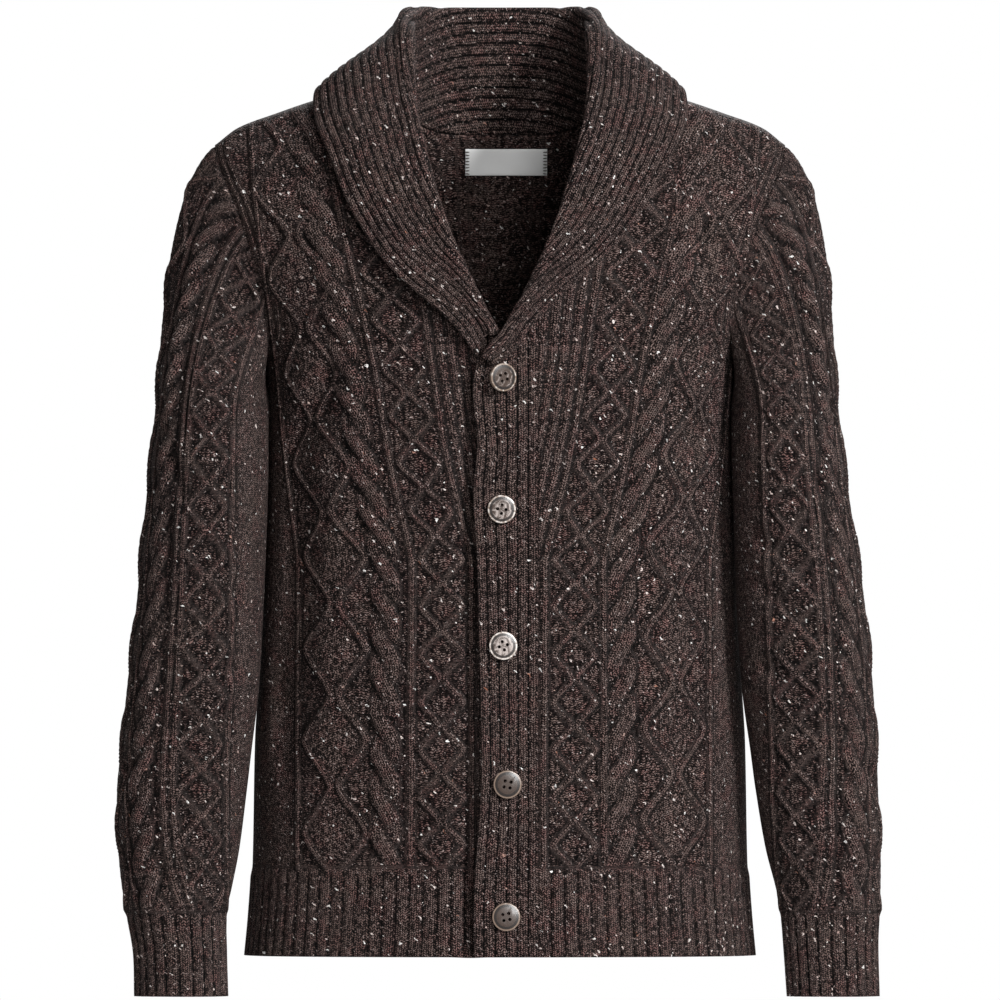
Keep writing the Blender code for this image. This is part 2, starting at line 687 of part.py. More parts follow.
SLEEVES = {                 # as seen from the front: outer and inner edge, then fore and aft
    -1: table("height outer inner middle half_depth",
              (-704, 291, 218, -52, 37), (-669, 292, 219, -52, 36), (-640, 297, 219, -51, 38),
              (-617, 301, 214, -49, 42), (-586, 304, 208, -47, 46), (-539, 305, 202, -44, 49),
              (-509, 302, 199, -42, 52), (-458, 297, 194.5, -44, 55), (-387, 289, 187.0, -43, 61),
              (-340, 285, 184.5, -42, 65), (-292, 280, 184.0, -41, 69), (-240, 275, 186.0, -30, 73)),
    1: table("height outer inner middle half_depth",
             (-704, 302, 230, -52, 37), (-662, 301, 227, -52, 36), (-640, 302, 225, -51, 38),
             (-617, 304, 222, -49, 42), (-586, 304, 214, -47, 46), (-539, 302, 206, -44, 49),
             (-509, 301, 201.5, -42, 52), (-458, 299, 194.5, -44, 55), (-387, 291, 187.0, -43, 61),
             (-326, 282, 184.5, -42, 66), (-284, 276, 184.0, -41, 69), (-240, 271, 186.0, -30, 73)),
}
SLEEVE_FOLDS = table(       # soft folds of a sleeve: turn is from the outer line, to the front
    "turn height run_turn run_height width depth",
    (.28, -395, .10, 26, 15, -1.9), (.31, -345, .10, 22, 14, -1.6), (-.28, -400, -.09, 28, 16, -1.9),
    (.16, -280, -.06, 40, 16, -1.2), (-.18, -300, .07, 40, 18, -0.9), (.10, -520, .08, 30, 15, -1.2),
    (-.12, -560, -.08, 30, 15, -1.2))


def ring_at(side, z):
    rows = SLEEVES[side]
    outer, inner = read(rows, "outer", z), read(rows, "inner", z)
    return (outer + inner) / 2, (outer - inner) / 2, read(rows, "middle", z), \
        read(rows, "half_depth", z)


def ring_point(side, turn, z):
    """A point of a level ring: turn 0 is the outermost, .25 the front, .5 the body's side."""
    centre, half_width, middle, half_depth = ring_at(side, z)
    angle = 2 * math.pi * turn
    cosine, sine = math.cos(angle), math.sin(angle)
    power = 2 / SLEEVE_POWER
    x = centre + math.copysign(half_width * abs(cosine) ** power, cosine)
    y = middle - math.copysign(half_depth * abs(sine) ** power, sine)
    fold = 0.0
    for at, height, run_turn, run_height, width, rise in zip(*SLEEVE_FOLDS.values()):
        gap = (turn - at + 0.5) % 1.0 - 0.5
        aside = z - height - gap / run_turn * run_height
        fold += rise * math.exp(-(aside / width) ** 2) * (1 - ease(0.5, 1.0, abs(gap / run_turn)))
    out = Vector((cosine * half_depth, -sine * half_width, 0)).normalized() * fold
    return Vector((side * (x + out.x), y + out.y, z))


def ring_length(side, z):
    points = [ring_point(side, i / 48, z) for i in range(48)]
    return sum((a - b).length for a, b in zip(points, points[1:] + points[:1]))


RING_LENGTHS = {side: [(z, ring_length(side, z)) for z in spread(SLEEVE_END, SLEEVE_RING, 30)]
                for side in (-1, 1)}


def girth(side, along):
    """The sleeve's girth at a distance up from the cuff."""
    z = min(SLEEVE_END + along, SLEEVE_RING)
    keys = [row[0] for row in RING_LENGTHS[side]]
    return interpolate(keys, [row[1] for row in RING_LENGTHS[side]], z)


ARMHOLE_LOOPS = {}


def armhole_loop(side):
    """Round the armhole from the shoulder tip: seam point, body normal, way out of the body."""
    if side in ARMHOLE_LOOPS:
        return ARMHOLE_LOOPS[side]
    stops = []
    for face in (FRONT, BACK):
        places = armhole_curve(face, side)
        sheet = torso_sheet(face)
        rows = []
        for i, (flat, z) in enumerate(places):
            point = sheet(flat, z, 0.0)
            normal = (sheet(flat, z, 1.0) - point).normalized()
            before = sheet(*places[max(i - 1, 0)], 0.0)
            after = sheet(*places[min(i + 1, len(places) - 1)], 0.0)
            along = (after - before).normalized()
            if i in (0, len(places) - 1):
                along = Vector((0, face * (1 if i == 0 else -1), 0))
            away = along.cross(normal).normalized()
            if away.dot(Vector((side, 0, 0.25))) < 0:
                away.negate()
            rows.append((point, normal, away))
        stops.append(rows)
    front, back = stops
    for row in (front[0], front[-1]):
        row[0].y = 0.0
    loop = front + back[::-1][1:-1]
    ARMHOLE_LOOPS[side] = loop
    return loop


def loop_at(side, turn):
    """The seam's point and the sleeve's way out of it, between the armhole's stops."""
    loop = armhole_loop(side)
    at = (turn % 1.0) * len(loop)
    i = int(at) % len(loop)
    t = at - int(at)
    j = (i + 1) % len(loop)
    point = loop[i][0].lerp(loop[j][0], t)
    normal = loop[i][1].lerp(loop[j][1], t).normalized()
    away = loop[i][2].lerp(loop[j][2], t).normalized()
    lift = (1 + math.cos(2 * math.pi * turn)) / 2
    start = (away * 0.6 * lift + Vector((side * (0.35 + 0.3 * lift), 0, 0.45 * lift - 0.95)))
    start.normalize()
    return point + (normal * 0.5 + away).normalized() * SEAM_GAP * 1.2, start


def cap_length(side, turn):
    """How far the sleeve reaches above its level ring, along the cloth."""
    lift = (1 + math.cos(2 * math.pi * turn)) / 2
    return UNDERARM_LENGTH + (SLEEVE_CAP_LENGTH - UNDERARM_LENGTH) * lift ** 0.8


RING_ALONG = SLEEVE_RING - SLEEVE_END


def sleeve_surface(side):
    """The sleeve's plain outer face: distance round from its outer line, distance up."""
    full = girth(side, RING_ALONG)

    def surface(around, along):
        turn = around / girth(side, along)
        if along <= RING_ALONG:
            return ring_point(side, turn, SLEEVE_END + along)
        turn = around / full
        reach = cap_length(side, turn)
        t = min((along - RING_ALONG) / reach, 1.0)
        low = ring_point(side, turn, SLEEVE_RING)
        low_way = (ring_point(side, turn, SLEEVE_RING) - ring_point(side, turn, SLEEVE_RING - 8)) / 8
        high, start = loop_at(side, turn)
        pull = (high - low).length
        up = low_way * pull * 1.05
        end = -start * pull * 1.05
        return (low * (2 * t ** 3 - 3 * t ** 2 + 1) + up * (t ** 3 - 2 * t ** 2 + t)
                + high * (3 * t ** 2 - 2 * t ** 3) + end * (t ** 3 - t ** 2))
    return surface


def sleeve_sheet(side):
    surface = sleeve_surface(side)

    def place(around, along, rise):
        half = girth(side, along) / 2
        if abs(abs(around) - half) < 1e-6:
            around = half
        point = surface(around, along)
        normal = sheet_normal(surface, around, along, 0.8) * side * -1
        return point + normal * rise
    return place


SLEEVE_MOTIFS = {"diamond": 0.0, "rope": 46.0, "rib_in": 64.0, "rib_out": 71.0,
                 "lattice": 94.0, "edge": 118.0}


def sleeve_outline(side, grooves):
    bottom = [(u, 0.0) for u, _ in rib_edge(grooves)]
    rises = [rise for _, rise in rib_edge(grooves)]
    levels = spread(0, RING_ALONG + UNDERARM_LENGTH, 46)
    full = girth(side, RING_ALONG)
    right = [(girth(side, v) / 2, v) for v in levels[1:-1]]
    left = [(-girth(side, v) / 2, v) for v in levels[1:-1]][::-1]
    stops = 2 * ARMHOLE_POINTS
    top = []
    for i in range(stops + 1):
        turn = 0.5 - i / stops
        top.append((turn * full, RING_ALONG + cap_length(side, turn)))
    outline = bottom + right + top + left
    rises += [0.0] * (len(outline) - len(bottom))
    first_side = len(bottom) - 1
    last_side = first_side + len(right) + 1
    first_left = last_side + len(top) - 1
    weld = [(i, i + 1) for i in range(first_side, last_side)]
    weld += [(i, (i + 1) % len(outline)) for i in range(first_left, len(outline))]
    return outline, rises, weld


def sleeve_mesh(name, side):
    cuff = girth(side, 0)
    count = 2 * round(cuff / CUFF_RIB_PITCH / 2)
    grooves = [cuff * (i / count - 0.5) for i in range(count + 1)]
    outline, rises, weld = sleeve_outline(side, grooves)
    layout = Layout(outline, rises)
    rib_band(layout, len(rib_edge(grooves)), CUFF_LENGTH, girth(side, CUFF_LENGTH) / cuff)
    low, high = CUFF_LENGTH + 4, RING_ALONG + SLEEVE_CAP_LENGTH

    def at(motif, way, shift=0.0):
        return lambda along: way * (SLEEVE_MOTIFS[motif] + shift)

    diamond(layout, at("diamond", 1), low, high, low + 30, half=24.0)
    for way in (-1, 1):
        rope(layout, at("rope", way), low, high, way)
        lattice(layout, at("lattice", way), low, high)
        ribs(layout, [at("rib_in", way, 3.5), at("edge", way, -1.0)], low, high)
    plain(layout, spread(-170, 170, 30), spread(low, RING_ALONG + 160, 55))
    plain(layout, [way * u for u in (133, 150, 167) for way in (-1, 1)],
          spread(low, RING_ALONG + 60, 46), 6, 10)
    inner = Layout(outline)
    plain(inner, spread(-170, 170, 24), spread(46, RING_ALONG, 52), 8, 12)
    plain(inner, spread(-170, 170, 24), spread(RING_ALONG + 22, RING_ALONG + 210, 24), 9, 16)
    return wall_mesh(name, layout, inner, sleeve_sheet(side), weld=weld)


# ---- the shawl collar ----
COLLAR_WALL = 2.2
COLLAR_RIB_RISE = 1.5
RIB_PITCH = table("at pitch", (0, 8.8), (70, 8.8), (131, 8.3), (200, 7.4), (260, 6.6), (330, 6.0),
                  (410, 5.6))
SECTION_STEPS = 48
LAPEL_SHIFT = {-1: 0.0, 1: 2.0}    # the lapel on the over band sits a little further out


def seam_frame(side, at):
    """The collar seam at a station: its point, the cloth's normal and the way into the neck."""
    face_row = STATIONS["face"][min(bisect_right(STATIONS["at"], at) - 1,
                                    len(STATIONS["at"]) - 1)]
    x, z = read(STATIONS, "seam_x", at), read(STATIONS, "seam_z", at)
    z = min(z, shoulder_height(x))
    sheet = torso_sheet(face_row, side > 0 and face_row == FRONT)
    flat = flat_of(side * x, z)
    point = sheet(flat, z, 0.0)
    return point, (sheet(flat, z, 1.0) - point).normalized()


def collar_frames(side):
    """Seam, fold and outer edge of the collar at each station of one half."""
    rows = []
    for i, at in enumerate(STATIONS["at"]):
        face = STATIONS["face"][i]
        seam, seam_normal = seam_frame(side, at)
        shift = LAPEL_SHIFT[side] * ease(131, 200, at) * (1 - ease(370, 406, at))
        fold = Vector((side * (STATIONS["fold_x"][i] + shift), STATIONS["fold_y"][i],
                       STATIONS["fold_z"][i]))
        if side > 0:
            fold.y -= OVERLAP_LIFT * ease(226, 370, at)
        edge_x = side * (STATIONS["edge_x"][i] + shift)
        edge_z = min(STATIONS["edge_z"][i], shoulder_height(edge_x))
        sheet = torso_sheet(face, side > 0 and face == FRONT)
        edge = sheet(flat_of(edge_x, edge_z), edge_z, STATIONS["stand_off"][i])
        rows.append((at, seam, fold, edge, STATIONS["turn"][i], STATIONS["bulge"][i], seam_normal))
    return rows


COLLAR_ROWS = {}


def collar_row(side, at):
    """Seam, fold, edge, turn and bulge anywhere along the collar, on smooth curves."""
    if side not in COLLAR_ROWS:
        rows = collar_frames(side)
        columns = {"at": [row[0] for row in rows]}
        for name, k in (("seam", 1), ("fold", 2), ("edge", 3), ("normal", 6)):
            for axis in range(3):
                columns[name + "xyz"[axis]] = [row[k][axis] for row in rows]
        columns["turn"] = [row[4] for row in rows]
        columns["bulge"] = [row[5] for row in rows]
        COLLAR_ROWS[side] = columns
    columns = COLLAR_ROWS[side]

    def point(name):
        return Vector([read(columns, name + axis, at) for axis in "xyz"])
    return (point("seam"), point("fold"), point("edge"), read(columns, "turn", at),
            read(columns, "bulge", at), point("normal").normalized())


def collar_section(at):
    """The ribbed face across the collar at a place along it, from the outer edge to the seam.

    Places along the collar run from the end of the lapel at -X, below zero, to the one at +X.
    """
    side = 1 if at > 0 else -1
    seam, fold, edge, turn, bulge, normal = collar_row(side, abs(at))
    up = (fold - seam).normalized()
    axis = (collar_row(side, abs(at) + 1)[1] - collar_row(side, abs(at) - 1)[1]).normalized()
    wide = axis.cross(up).normalized()
    if wide.dot(edge - seam) < 0:
        wide.negate()
    into = (up + normal * 0.3).normalized()
    start = seam + into * SEAM_GAP * 1.3 - wide * COLLAR_WALL
    crest = turn / max(math.sqrt(1 - axis.dot(up) ** 2), 0.5)
    stand = (fold - start).dot(up) - crest
    fall_start = start + up * stand + wide * 2 * turn
    way = fall_start - edge
    chord = way.length
    way.normalize()
    aside = way.cross(axis).normalized()
    if aside.dot(wide) < 0:
        aside.negate()
    points = []
    for i in range(SECTION_STEPS):
        t = i / SECTION_STEPS
        points.append(edge * (2 * t ** 3 - 3 * t ** 2 + 1) + fall_start * (3 * t ** 2 - 2 * t ** 3)
                      + (way * (t ** 3 - 2 * t ** 2 + t) + up * (t ** 3 - t ** 2)) * chord * 0.8
                      + aside * bulge * math.sin(math.pi * t))
    for i in range(13):
        angle = math.pi * (0.5 - i / 12)
        points.append(start + up * (stand + crest * math.cos(angle))
                      + wide * (turn + turn * math.sin(angle)))
    for i in range(1, 9):
        points.append(start + up * stand * (1 - i / 8))
    return points


SECTIONS = {}


def collar_run(at):
    """The section's points and the distance of each from the collar's outer edge."""
    key = round(at, 3)
    if key not in SECTIONS:
        points = collar_section(at)
        run = [0.0]
        for a, b in zip(points, points[1:]):
            run.append(run[-1] + (b - a).length)
        SECTIONS[key] = (points, run)
    return SECTIONS[key]


def collar_width(at):
    return collar_run(at)[1][-1]


def collar_surface(at, across):
    points, run = collar_run(at)
    i = min(max(bisect_right(run, across) - 1, 0), len(run) - 2)
    t = (across - run[i]) / (run[i + 1] - run[i])
    return points[i].lerp(points[i + 1], min(max(t, -2.0), 3.0))


# The plain face of the collar is laid out in three even strips: fall, fold and stand.
FALL_STRIP, FOLD_STRIP, STAND_STRIP = 60.0, 22.0, 60.0
STRIPS = (0.0, FALL_STRIP, FALL_STRIP + FOLD_STRIP, FALL_STRIP + FOLD_STRIP + STAND_STRIP)


def strip_stops(at):
    run = collar_run(at)[1]
    return [0.0, run[SECTION_STEPS], run[SECTION_STEPS + 12], run[-1]]


def plain_place(at, strip, rise):
    def surface(u, v):
        stops = strip_stops(u)
        if v < 0:
            return collar_surface(u, v * stops[1] / FALL_STRIP)
        if v > STRIPS[3]:
            return collar_surface(u, stops[3] + (v - STRIPS[3]) * (stops[3] - stops[2]) / STAND_STRIP)
        return collar_surface(u, interpolate(STRIPS, stops, v))
    return surface(at, strip) + sheet_normal(surface, at, strip, 1.2) * -rise


def collar_place(at, across, rise):
    return plain_place(at, interpolate(strip_stops(at), STRIPS, across), rise)


def collar_mesh(name):
    half = neck_stations()
    ats = [-at for at in half[::-1]] + half[1:]
    outline, rises = [], []

    def pitch(at):
        return read(RIB_PITCH, "pitch", abs(at))

    def end_places(at):
        """Across an end: the ribs show as a scalloped edge."""
        count = int((collar_width(at) - 2.5) / pitch(at) * 2)
        return [(k / 2 * pitch(at), COLLAR_RIB_RISE if k % 2 else 0.0)
                for k in range(1, count + 1)]

    outline += [(at, 0.0) for at in ats]
    rises += [0.0] * len(ats)
    for across, rise in end_places(ats[-1]):
        outline.append((ats[-1], across))
        rises.append(rise)
    outline += [(at, collar_width(at)) for at in ats[::-1]]
    rises += [0.0] * len(ats)
    for across, rise in end_places(ats[0])[::-1]:
        outline.append((ats[0], across))
        rises.append(rise)
    layout = Layout(outline, rises)
    widest = max(collar_width(at) / pitch(at) for at in ats)
    for k in range(1, int(widest * 2) + 1):
        rise = COLLAR_RIB_RISE if k % 2 else 0.0
        layout.line([(at, k / 2 * pitch(at), rise) for at in ats[1:-1]], 1.5, 0.8)
    inner = Layout([(at, interpolate(strip_stops(at), STRIPS, across)) for at, across in outline])
    for at in ats[1:-1]:
        places = [20.0, 42.0] + spread(STRIPS[1], STRIPS[2], FOLD_STRIP / 4)
        places.append((STRIPS[2] + STRIPS[3]) / 2)
        inner.line([(at, strip, 0.0) for strip in places], 1.5, 0.8)
    return wall_mesh(name, layout, inner, collar_place, COLLAR_WALL, inner_place=plain_place)


# ---- buttons and label ----
BUTTONS = table(            # centre across and height; yaw is how far it turns, in degrees
    "number across height yaw", (1, 1.6, -210.4, 26), (2, 1.4, -315.2, 0), (3, 2.6, -424.0, 0),
    (4, 6.0, -534.4, 0), (5, 5.0, -640.0, 0))
BUTTON_RADIUS = 11.2
BUTTON_HOLE_RADIUS = 1.0
BUTTON_HOLE_PLACE = 2.3
BUTTON_STEPS = 14
HOLE_STEPS = 5
BUTTON_DISH = (6.6, 2.2)    # radius and height above the underside of the dish's flat middle
BUTTON_RIM = ((8.6, 3.6), (11.2, 2.4), (9.8, 0.0))


def circle(radius, steps, x=0.0, y=0.0):
    return [(x + radius * math.cos(2 * math.pi * i / steps),
             y + radius * math.sin(2 * math.pi * i / steps)) for i in range(steps)]


def button_mesh(name):
    """A turned four-hole button: a raised rim round a dish, pierced in its middle."""
    shell = bmesh.new()
    holes = [circle(BUTTON_HOLE_RADIUS, HOLE_STEPS,
                    BUTTON_HOLE_PLACE * math.cos(math.pi / 2 * (i + 0.5)),
                    BUTTON_HOLE_PLACE * math.sin(math.pi / 2 * (i + 0.5))) for i in range(4)]

    def disc(radius, height):
        """The pierced middle of one side: its rim's points, and those of the holes."""
        flat = [Vector(point) for ring in [circle(radius, BUTTON_STEPS)] + holes for point in ring]
        rings = [list(range(BUTTON_STEPS))]
        for _ in holes:
            start = rings[-1][-1] + 1
            rings.append(list(range(start, start + HOLE_STEPS)))
        places, _, faces, sources, _, owners = delaunay_2d_cdt(flat, [], rings, 1, 1e-6, True)
        made = [shell.verts.new(Vector((x, y, height)) * MM) for x, y in places]
        for face, owner in zip(faces, owners):
            if list(owner) == [0]:
                shell.faces.new([made[k] for k in face])
        order = {source[0]: i for i, source in enumerate(sources) if source}
        return [[made[order[k]] for k in ring] for ring in rings]

    def wall(ring, other):
        for i in range(len(ring)):
            j = (i + 1) % len(ring)
            shell.faces.new((ring[i], ring[j], other[j], other[i]))

    top, *top_holes = disc(*BUTTON_DISH)
    bottom, *bottom_holes = disc(*BUTTON_RIM[-1])
    last = top
    for radius, height in BUTTON_RIM[:-1]:
        ring = [shell.verts.new(Vector((x, y, height)) * MM)
                for x, y in circle(radius, BUTTON_STEPS)]
        wall(last, ring)
        last = ring
    wall(last, bottom)
    for ring, other in zip(top_holes, bottom_holes):
        wall(ring, other)
    bmesh.ops.triangulate(shell, faces=shell.faces)
    bmesh.ops.recalc_face_normals(shell, faces=shell.faces)
    mesh = bpy.data.meshes.new(name)
    shell.to_mesh(mesh)
    shell.free()
    return mesh


def button_seat(across, z, yaw):
    """Where a button lies: on the over band's ribs, facing forwards, held a thread off."""
    sheet = torso_sheet(FRONT, True)
    flat = flat_of(across, z)
    stand = BAND_RIB_RISE + 0.8 + abs(math.sin(math.radians(yaw))) * BUTTON_RADIUS * 0.86
    point = sheet(flat, z, stand)
    normal = (sheet(flat, z, 5.0) - sheet(flat, z, 0.0)).normalized()
    return point, normal


def label_mesh(name):
    """The plain label: a thin strip on the inner face of the back, below the neck seam."""
    columns = spread(LABEL_LEFT, LABEL_RIGHT, 16)
    rows = spread(LABEL_BOTTOM, LABEL_TOP, 22)
    sheet = torso_sheet(BACK)
    shell = bmesh.new()
    layers = []
    for depth in (-WALL - SEAM_GAP - 0.3, -WALL - SEAM_GAP - 0.3 - LABEL_THICK):
        layers.append([[shell.verts.new(sheet(flat_of(x, z), z, depth) * MM) for x in columns]
                       for z in rows])
    for layer in layers:
        for j in range(len(rows) - 1):
            for i in range(len(columns) - 1):
                shell.faces.new((layer[j][i], layer[j][i + 1], layer[j + 1][i + 1],
                                 layer[j + 1][i]))
    near, far = layers
    border = ([(0, i) for i in range(len(columns))]
              + [(j, len(columns) - 1) for j in range(1, len(rows))]
              + [(len(rows) - 1, i) for i in range(len(columns) - 2, -1, -1)]
              + [(j, 0) for j in range(len(rows) - 2, 0, -1)])
    for (j, i), (q, p) in zip(border, border[1:] + border[:1]):
        shell.faces.new((near[j][i], near[q][p], far[q][p], far[j][i]))
    bmesh.ops.recalc_face_normals(shell, faces=shell.faces)
    bmesh.ops.triangulate(shell, faces=shell.faces)
    mesh = bpy.data.meshes.new(name)
    shell.to_mesh(mesh)
    shell.free()
    return mesh


# ---- materials and objects ----
MATERIALS = {               # colour, roughness
    "wool": ((0.052, 0.038, 0.036), 0.92),
    "rib": ((0.048, 0.035, 0.033), 0.92),
    "horn": ((0.30, 0.255, 0.235), 0.32),
    "satin": ((0.40, 0.40, 0.39), 0.55),
}


def material(kind, name):
    colour, roughness = MATERIALS[kind]
    finish = bpy.data.materials.new(name + "_" + kind)
    finish.use_nodes = True
    shader = finish.node_tree.nodes["Principled BSDF"]
    shader.inputs["Base Color"].default_value = (*colour, 1.0)
    shader.inputs["Roughness"].default_value = roughness
    shader.inputs["Metallic"].default_value = 0.0
    finish.diffuse_color = (*colour, 1.0)
    return finish


def add(name, mesh, kind, garment):
    mesh.materials.clear()
    mesh.materials.append(material(kind, name))
    piece = bpy.data.objects.new(name, mesh)
    garment.objects.link(piece)
    return piece


def main():
    for old in list(bpy.data.objects):
        bpy.data.objects.remove(old)
    garment = bpy.data.collections.new("shawl_collar_cardigan")
    bpy.context.scene.collection.children.link(garment)
    add("front_right", front_mesh("front_right", -1), "wool", garment)
    add("front_left", front_mesh("front_left", 1), "wool", garment)
    add("back", back_mesh("back"), "wool", garment)
    add("sleeve_right", sleeve_mesh("sleeve_right", -1), "wool", garment)
    add("sleeve_left", sleeve_mesh("sleeve_left", 1), "wool", garment)
    add("shawl_collar", collar_mesh("shawl_collar"), "rib", garment)
    add("button_band", band_mesh("button_band", False), "rib", garment)
    add("buttonhole_band", band_mesh("buttonhole_band", True), "rib", garment)
    turned = button_mesh("button")
    for number, across, height, yaw in zip(*BUTTONS.values()):
        point, normal = button_seat(across, height, yaw)
        button = add("button_" + str(number), turned.copy(), "horn", garment)
        button.location = point * MM
        facing = normal.to_track_quat("Z", "Y").to_euler()
        button.rotation_euler = facing
        button.rotation_euler.rotate_axis("Y", math.radians(yaw))
        button.data.shade_smooth()
        button.data.set_sharp_from_angle(angle=math.radians(35))
    add("neck_label", label_mesh("neck_label"), "satin", garment)
    for piece in garment.objects:
        if not piece.name.startswith(("button_1", "button_2", "button_3", "button_4", "button_5")):
            piece.data.shade_smooth()


main()
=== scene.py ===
# %% [markdown]
# # A chunky cardigan with a shawl collar
# A hand-framed cardigan is a handful of flat knitted pieces sewn edge to edge: two
# fronts, a back, two sleeves, two button bands and one long ribbed collar that rolls
# over at the neck. Its looks come from three scales at once: the body's form with a few
# soft creases, the cables and ribs that stand a few millimetres proud, and the stitches
# of a flecked yarn. The first two are made as geometry here, and the third is a finish.

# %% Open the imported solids
import math

import bmesh
import bpy
import numpy as np
from mathutils import Matrix, Vector


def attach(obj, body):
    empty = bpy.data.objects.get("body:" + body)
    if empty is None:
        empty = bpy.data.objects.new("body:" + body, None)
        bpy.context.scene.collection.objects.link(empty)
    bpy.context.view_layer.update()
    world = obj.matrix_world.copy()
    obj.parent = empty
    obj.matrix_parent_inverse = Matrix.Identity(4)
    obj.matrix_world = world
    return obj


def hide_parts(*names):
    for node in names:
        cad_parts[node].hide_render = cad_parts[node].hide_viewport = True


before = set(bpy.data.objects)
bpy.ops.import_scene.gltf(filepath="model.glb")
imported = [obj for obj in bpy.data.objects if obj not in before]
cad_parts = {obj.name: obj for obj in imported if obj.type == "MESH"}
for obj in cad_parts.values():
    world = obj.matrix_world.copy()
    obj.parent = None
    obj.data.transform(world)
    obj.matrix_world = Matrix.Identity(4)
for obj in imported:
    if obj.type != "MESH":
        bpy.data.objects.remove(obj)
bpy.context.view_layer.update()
MM = 0.001
print("packed pieces:", len(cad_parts))

# %% [markdown]
# ## Camera, light and floor
# A garment is best seen from far away with a long lens, which keeps its sleeves as wide
# as its chest. The cables of dark wool are low and need grazing light, so a soft key comes
# from the upper right. A weaker one near the front keeps its shadows open, one behind
# lights the back, and there is white air all round.

# %% Camera
DISTANCE, SEEN_WIDTH, EYE_HEIGHT = 24.0, 0.8, -0.308
eye = bpy.data.cameras.new("long_lens")
eye.sensor_width = 36.0
eye.lens = eye.sensor_width * DISTANCE / SEEN_WIDTH
eye.clip_end = 90.0
camera = bpy.data.objects.new("camera", eye)
camera.location = (0.0, -DISTANCE, EYE_HEIGHT)
camera.rotation_euler = (math.radians(90), 0.0, 0.0)
bpy.context.scene.collection.objects.link(camera)
bpy.context.scene.camera = camera

# %% Lights
LIT_AT = Vector((0, 0, -0.3))
for name, place, size, power in (("key", (2.7, -3.6, 1.6), 0.8, 300.0),
                                 ("front", (1.0, -4.9, 0.6), 1.2, 90.0),
                                 ("back", (0.4, 3.0, 1.4), 1.6, 105.0)):
    lamp = bpy.data.lights.new(name, "AREA")
    lamp.shape, lamp.size, lamp.energy = "DISK", size, power
    holder = bpy.data.objects.new(name, lamp)
    holder.location = place
    holder.rotation_euler = (LIT_AT - Vector(place)).to_track_quat("-Z", "Y").to_euler()
    bpy.context.scene.collection.objects.link(holder)
bpy.context.scene.view_settings.view_transform = "Standard"

# %% White air, which lights the wool less than it shows
sky = bpy.data.worlds.new("white_studio")
sky.use_nodes = True
bpy.context.scene.world = sky
nodes = sky.node_tree.nodes
lit, seen = nodes["Background"], nodes.new("ShaderNodeBackground")
for air, strength in ((lit, 0.31), (seen, 1.0)):
    air.inputs["Color"].default_value = (1.0, 1.0, 1.0, 1.0)
    air.inputs["Strength"].default_value = strength
eye_ray, choose = nodes.new("ShaderNodeLightPath"), nodes.new("ShaderNodeMixShader")
for source, socket in ((eye_ray.outputs["Is Camera Ray"], choose.inputs["Fac"]),
                       (lit.outputs[0], choose.inputs[1]), (seen.outputs[0], choose.inputs[2]),
                       (choose.outputs[0], nodes["World Output"].inputs["Surface"])):
    sky.node_tree.links.new(source, socket)


# %% Floor
def deselect():
    bpy.ops.object.select_all(action="DESELECT")


deselect()
bpy.ops.mesh.primitive_circle_add(vertices=96, radius=1.5, fill_type="NGON",
                                  location=(0, 0, -1.25))
floor = bpy.context.object
floor.name = "studio_floor"
pale = bpy.data.materials.new("pale_floor")
pale.use_nodes = True
for socket, value in (("Base Color", (.82, .82, .82, 1)), ("Roughness", 0.8)):
    pale.node_tree.nodes["Principled BSDF"].inputs[socket].default_value = value
floor.data.materials.append(pale)

# %% [markdown]
# ## Sizes
# The pieces take their form from the same named sizes as the pattern: level sections of
# the body and the sleeves, the shoulder line, the armhole and the stations of the
# collar. A size between two rows is read on a smooth curve. All of it is in millimetres.

# %% Sizes of the knit
WALL = 3.0
SEAM_GAP, BAND_GAP = 0.1, 0.06
BAND_AXIS, BAND_HALF = 6.4, 24.0
HEM, HEM_RIB_TOP, HEM_RIB_PITCH = -672.0, -606.0, 10.0
UNDERARM = -197.0
CUFF_LENGTH, CUFF_RIB_PITCH = 64.0, 9.6
OVERLAP_LIFT, OVERLAP_FADE = 6.6, 75.0
GUTTER_AT, GUTTER, GUTTER_WIDTH = -23.5, 7.5, 10.0     # the under front falls back here
TORSO_POWER, SLEEVE_POWER = 2.4, 2.2
STITCH, COURSE = 3.9, 2.7           # width and height of a stitch
FRONT, BACK = -1, 1
SECTION = (185, 120)                # a usual section: half its width, and its depth
YOKE_HALF = 245.0                   # half the body's width at the shoulder line


# %% Reading a size on a smooth curve
def table(columns, *rows):
    return {name: np.array([row[i] for row in rows], float)
            for i, name in enumerate(columns.split())}


def bend(a, slope_a, b, slope_b, t):
    """From a to b, leaving and arriving with these slopes."""
    return (a * (2 * t ** 3 - 3 * t ** 2 + 1) + slope_a * (t ** 3 - 2 * t ** 2 + t)
            + b * (3 * t ** 2 - 2 * t ** 3) + slope_b * (t ** 3 - t ** 2))


def read(rows, column, at):
    keys, values = next(iter(rows.values())), rows[column]
    low, high = np.maximum(np.arange(len(keys)) - 1, 0), np.arange(len(keys)) + 1
    high[-1] -= 1
    slopes = (values[high] - values[low]) / (keys[high] - keys[low])
    at = np.clip(at, keys[0], keys[-1])
    i = np.clip(np.searchsorted(keys, at, side="right") - 1, 0, len(keys) - 2)
    width = keys[i + 1] - keys[i]
    return bend(values[i], slopes[i] * width, values[i + 1], slopes[i + 1] * width,
                (at - keys[i]) / width)


def ease(low, high, x):
    t = np.clip((np.asarray(x, float) - low) / (high - low), 0.0, 1.0)
    return t * t * (3 - 2 * t)


def unit(vectors):
    return vectors / np.maximum(np.linalg.norm(vectors, axis=-1, keepdims=True), 1e-9)


def dot(a, b):
    return (a * b).sum(-1, keepdims=True)


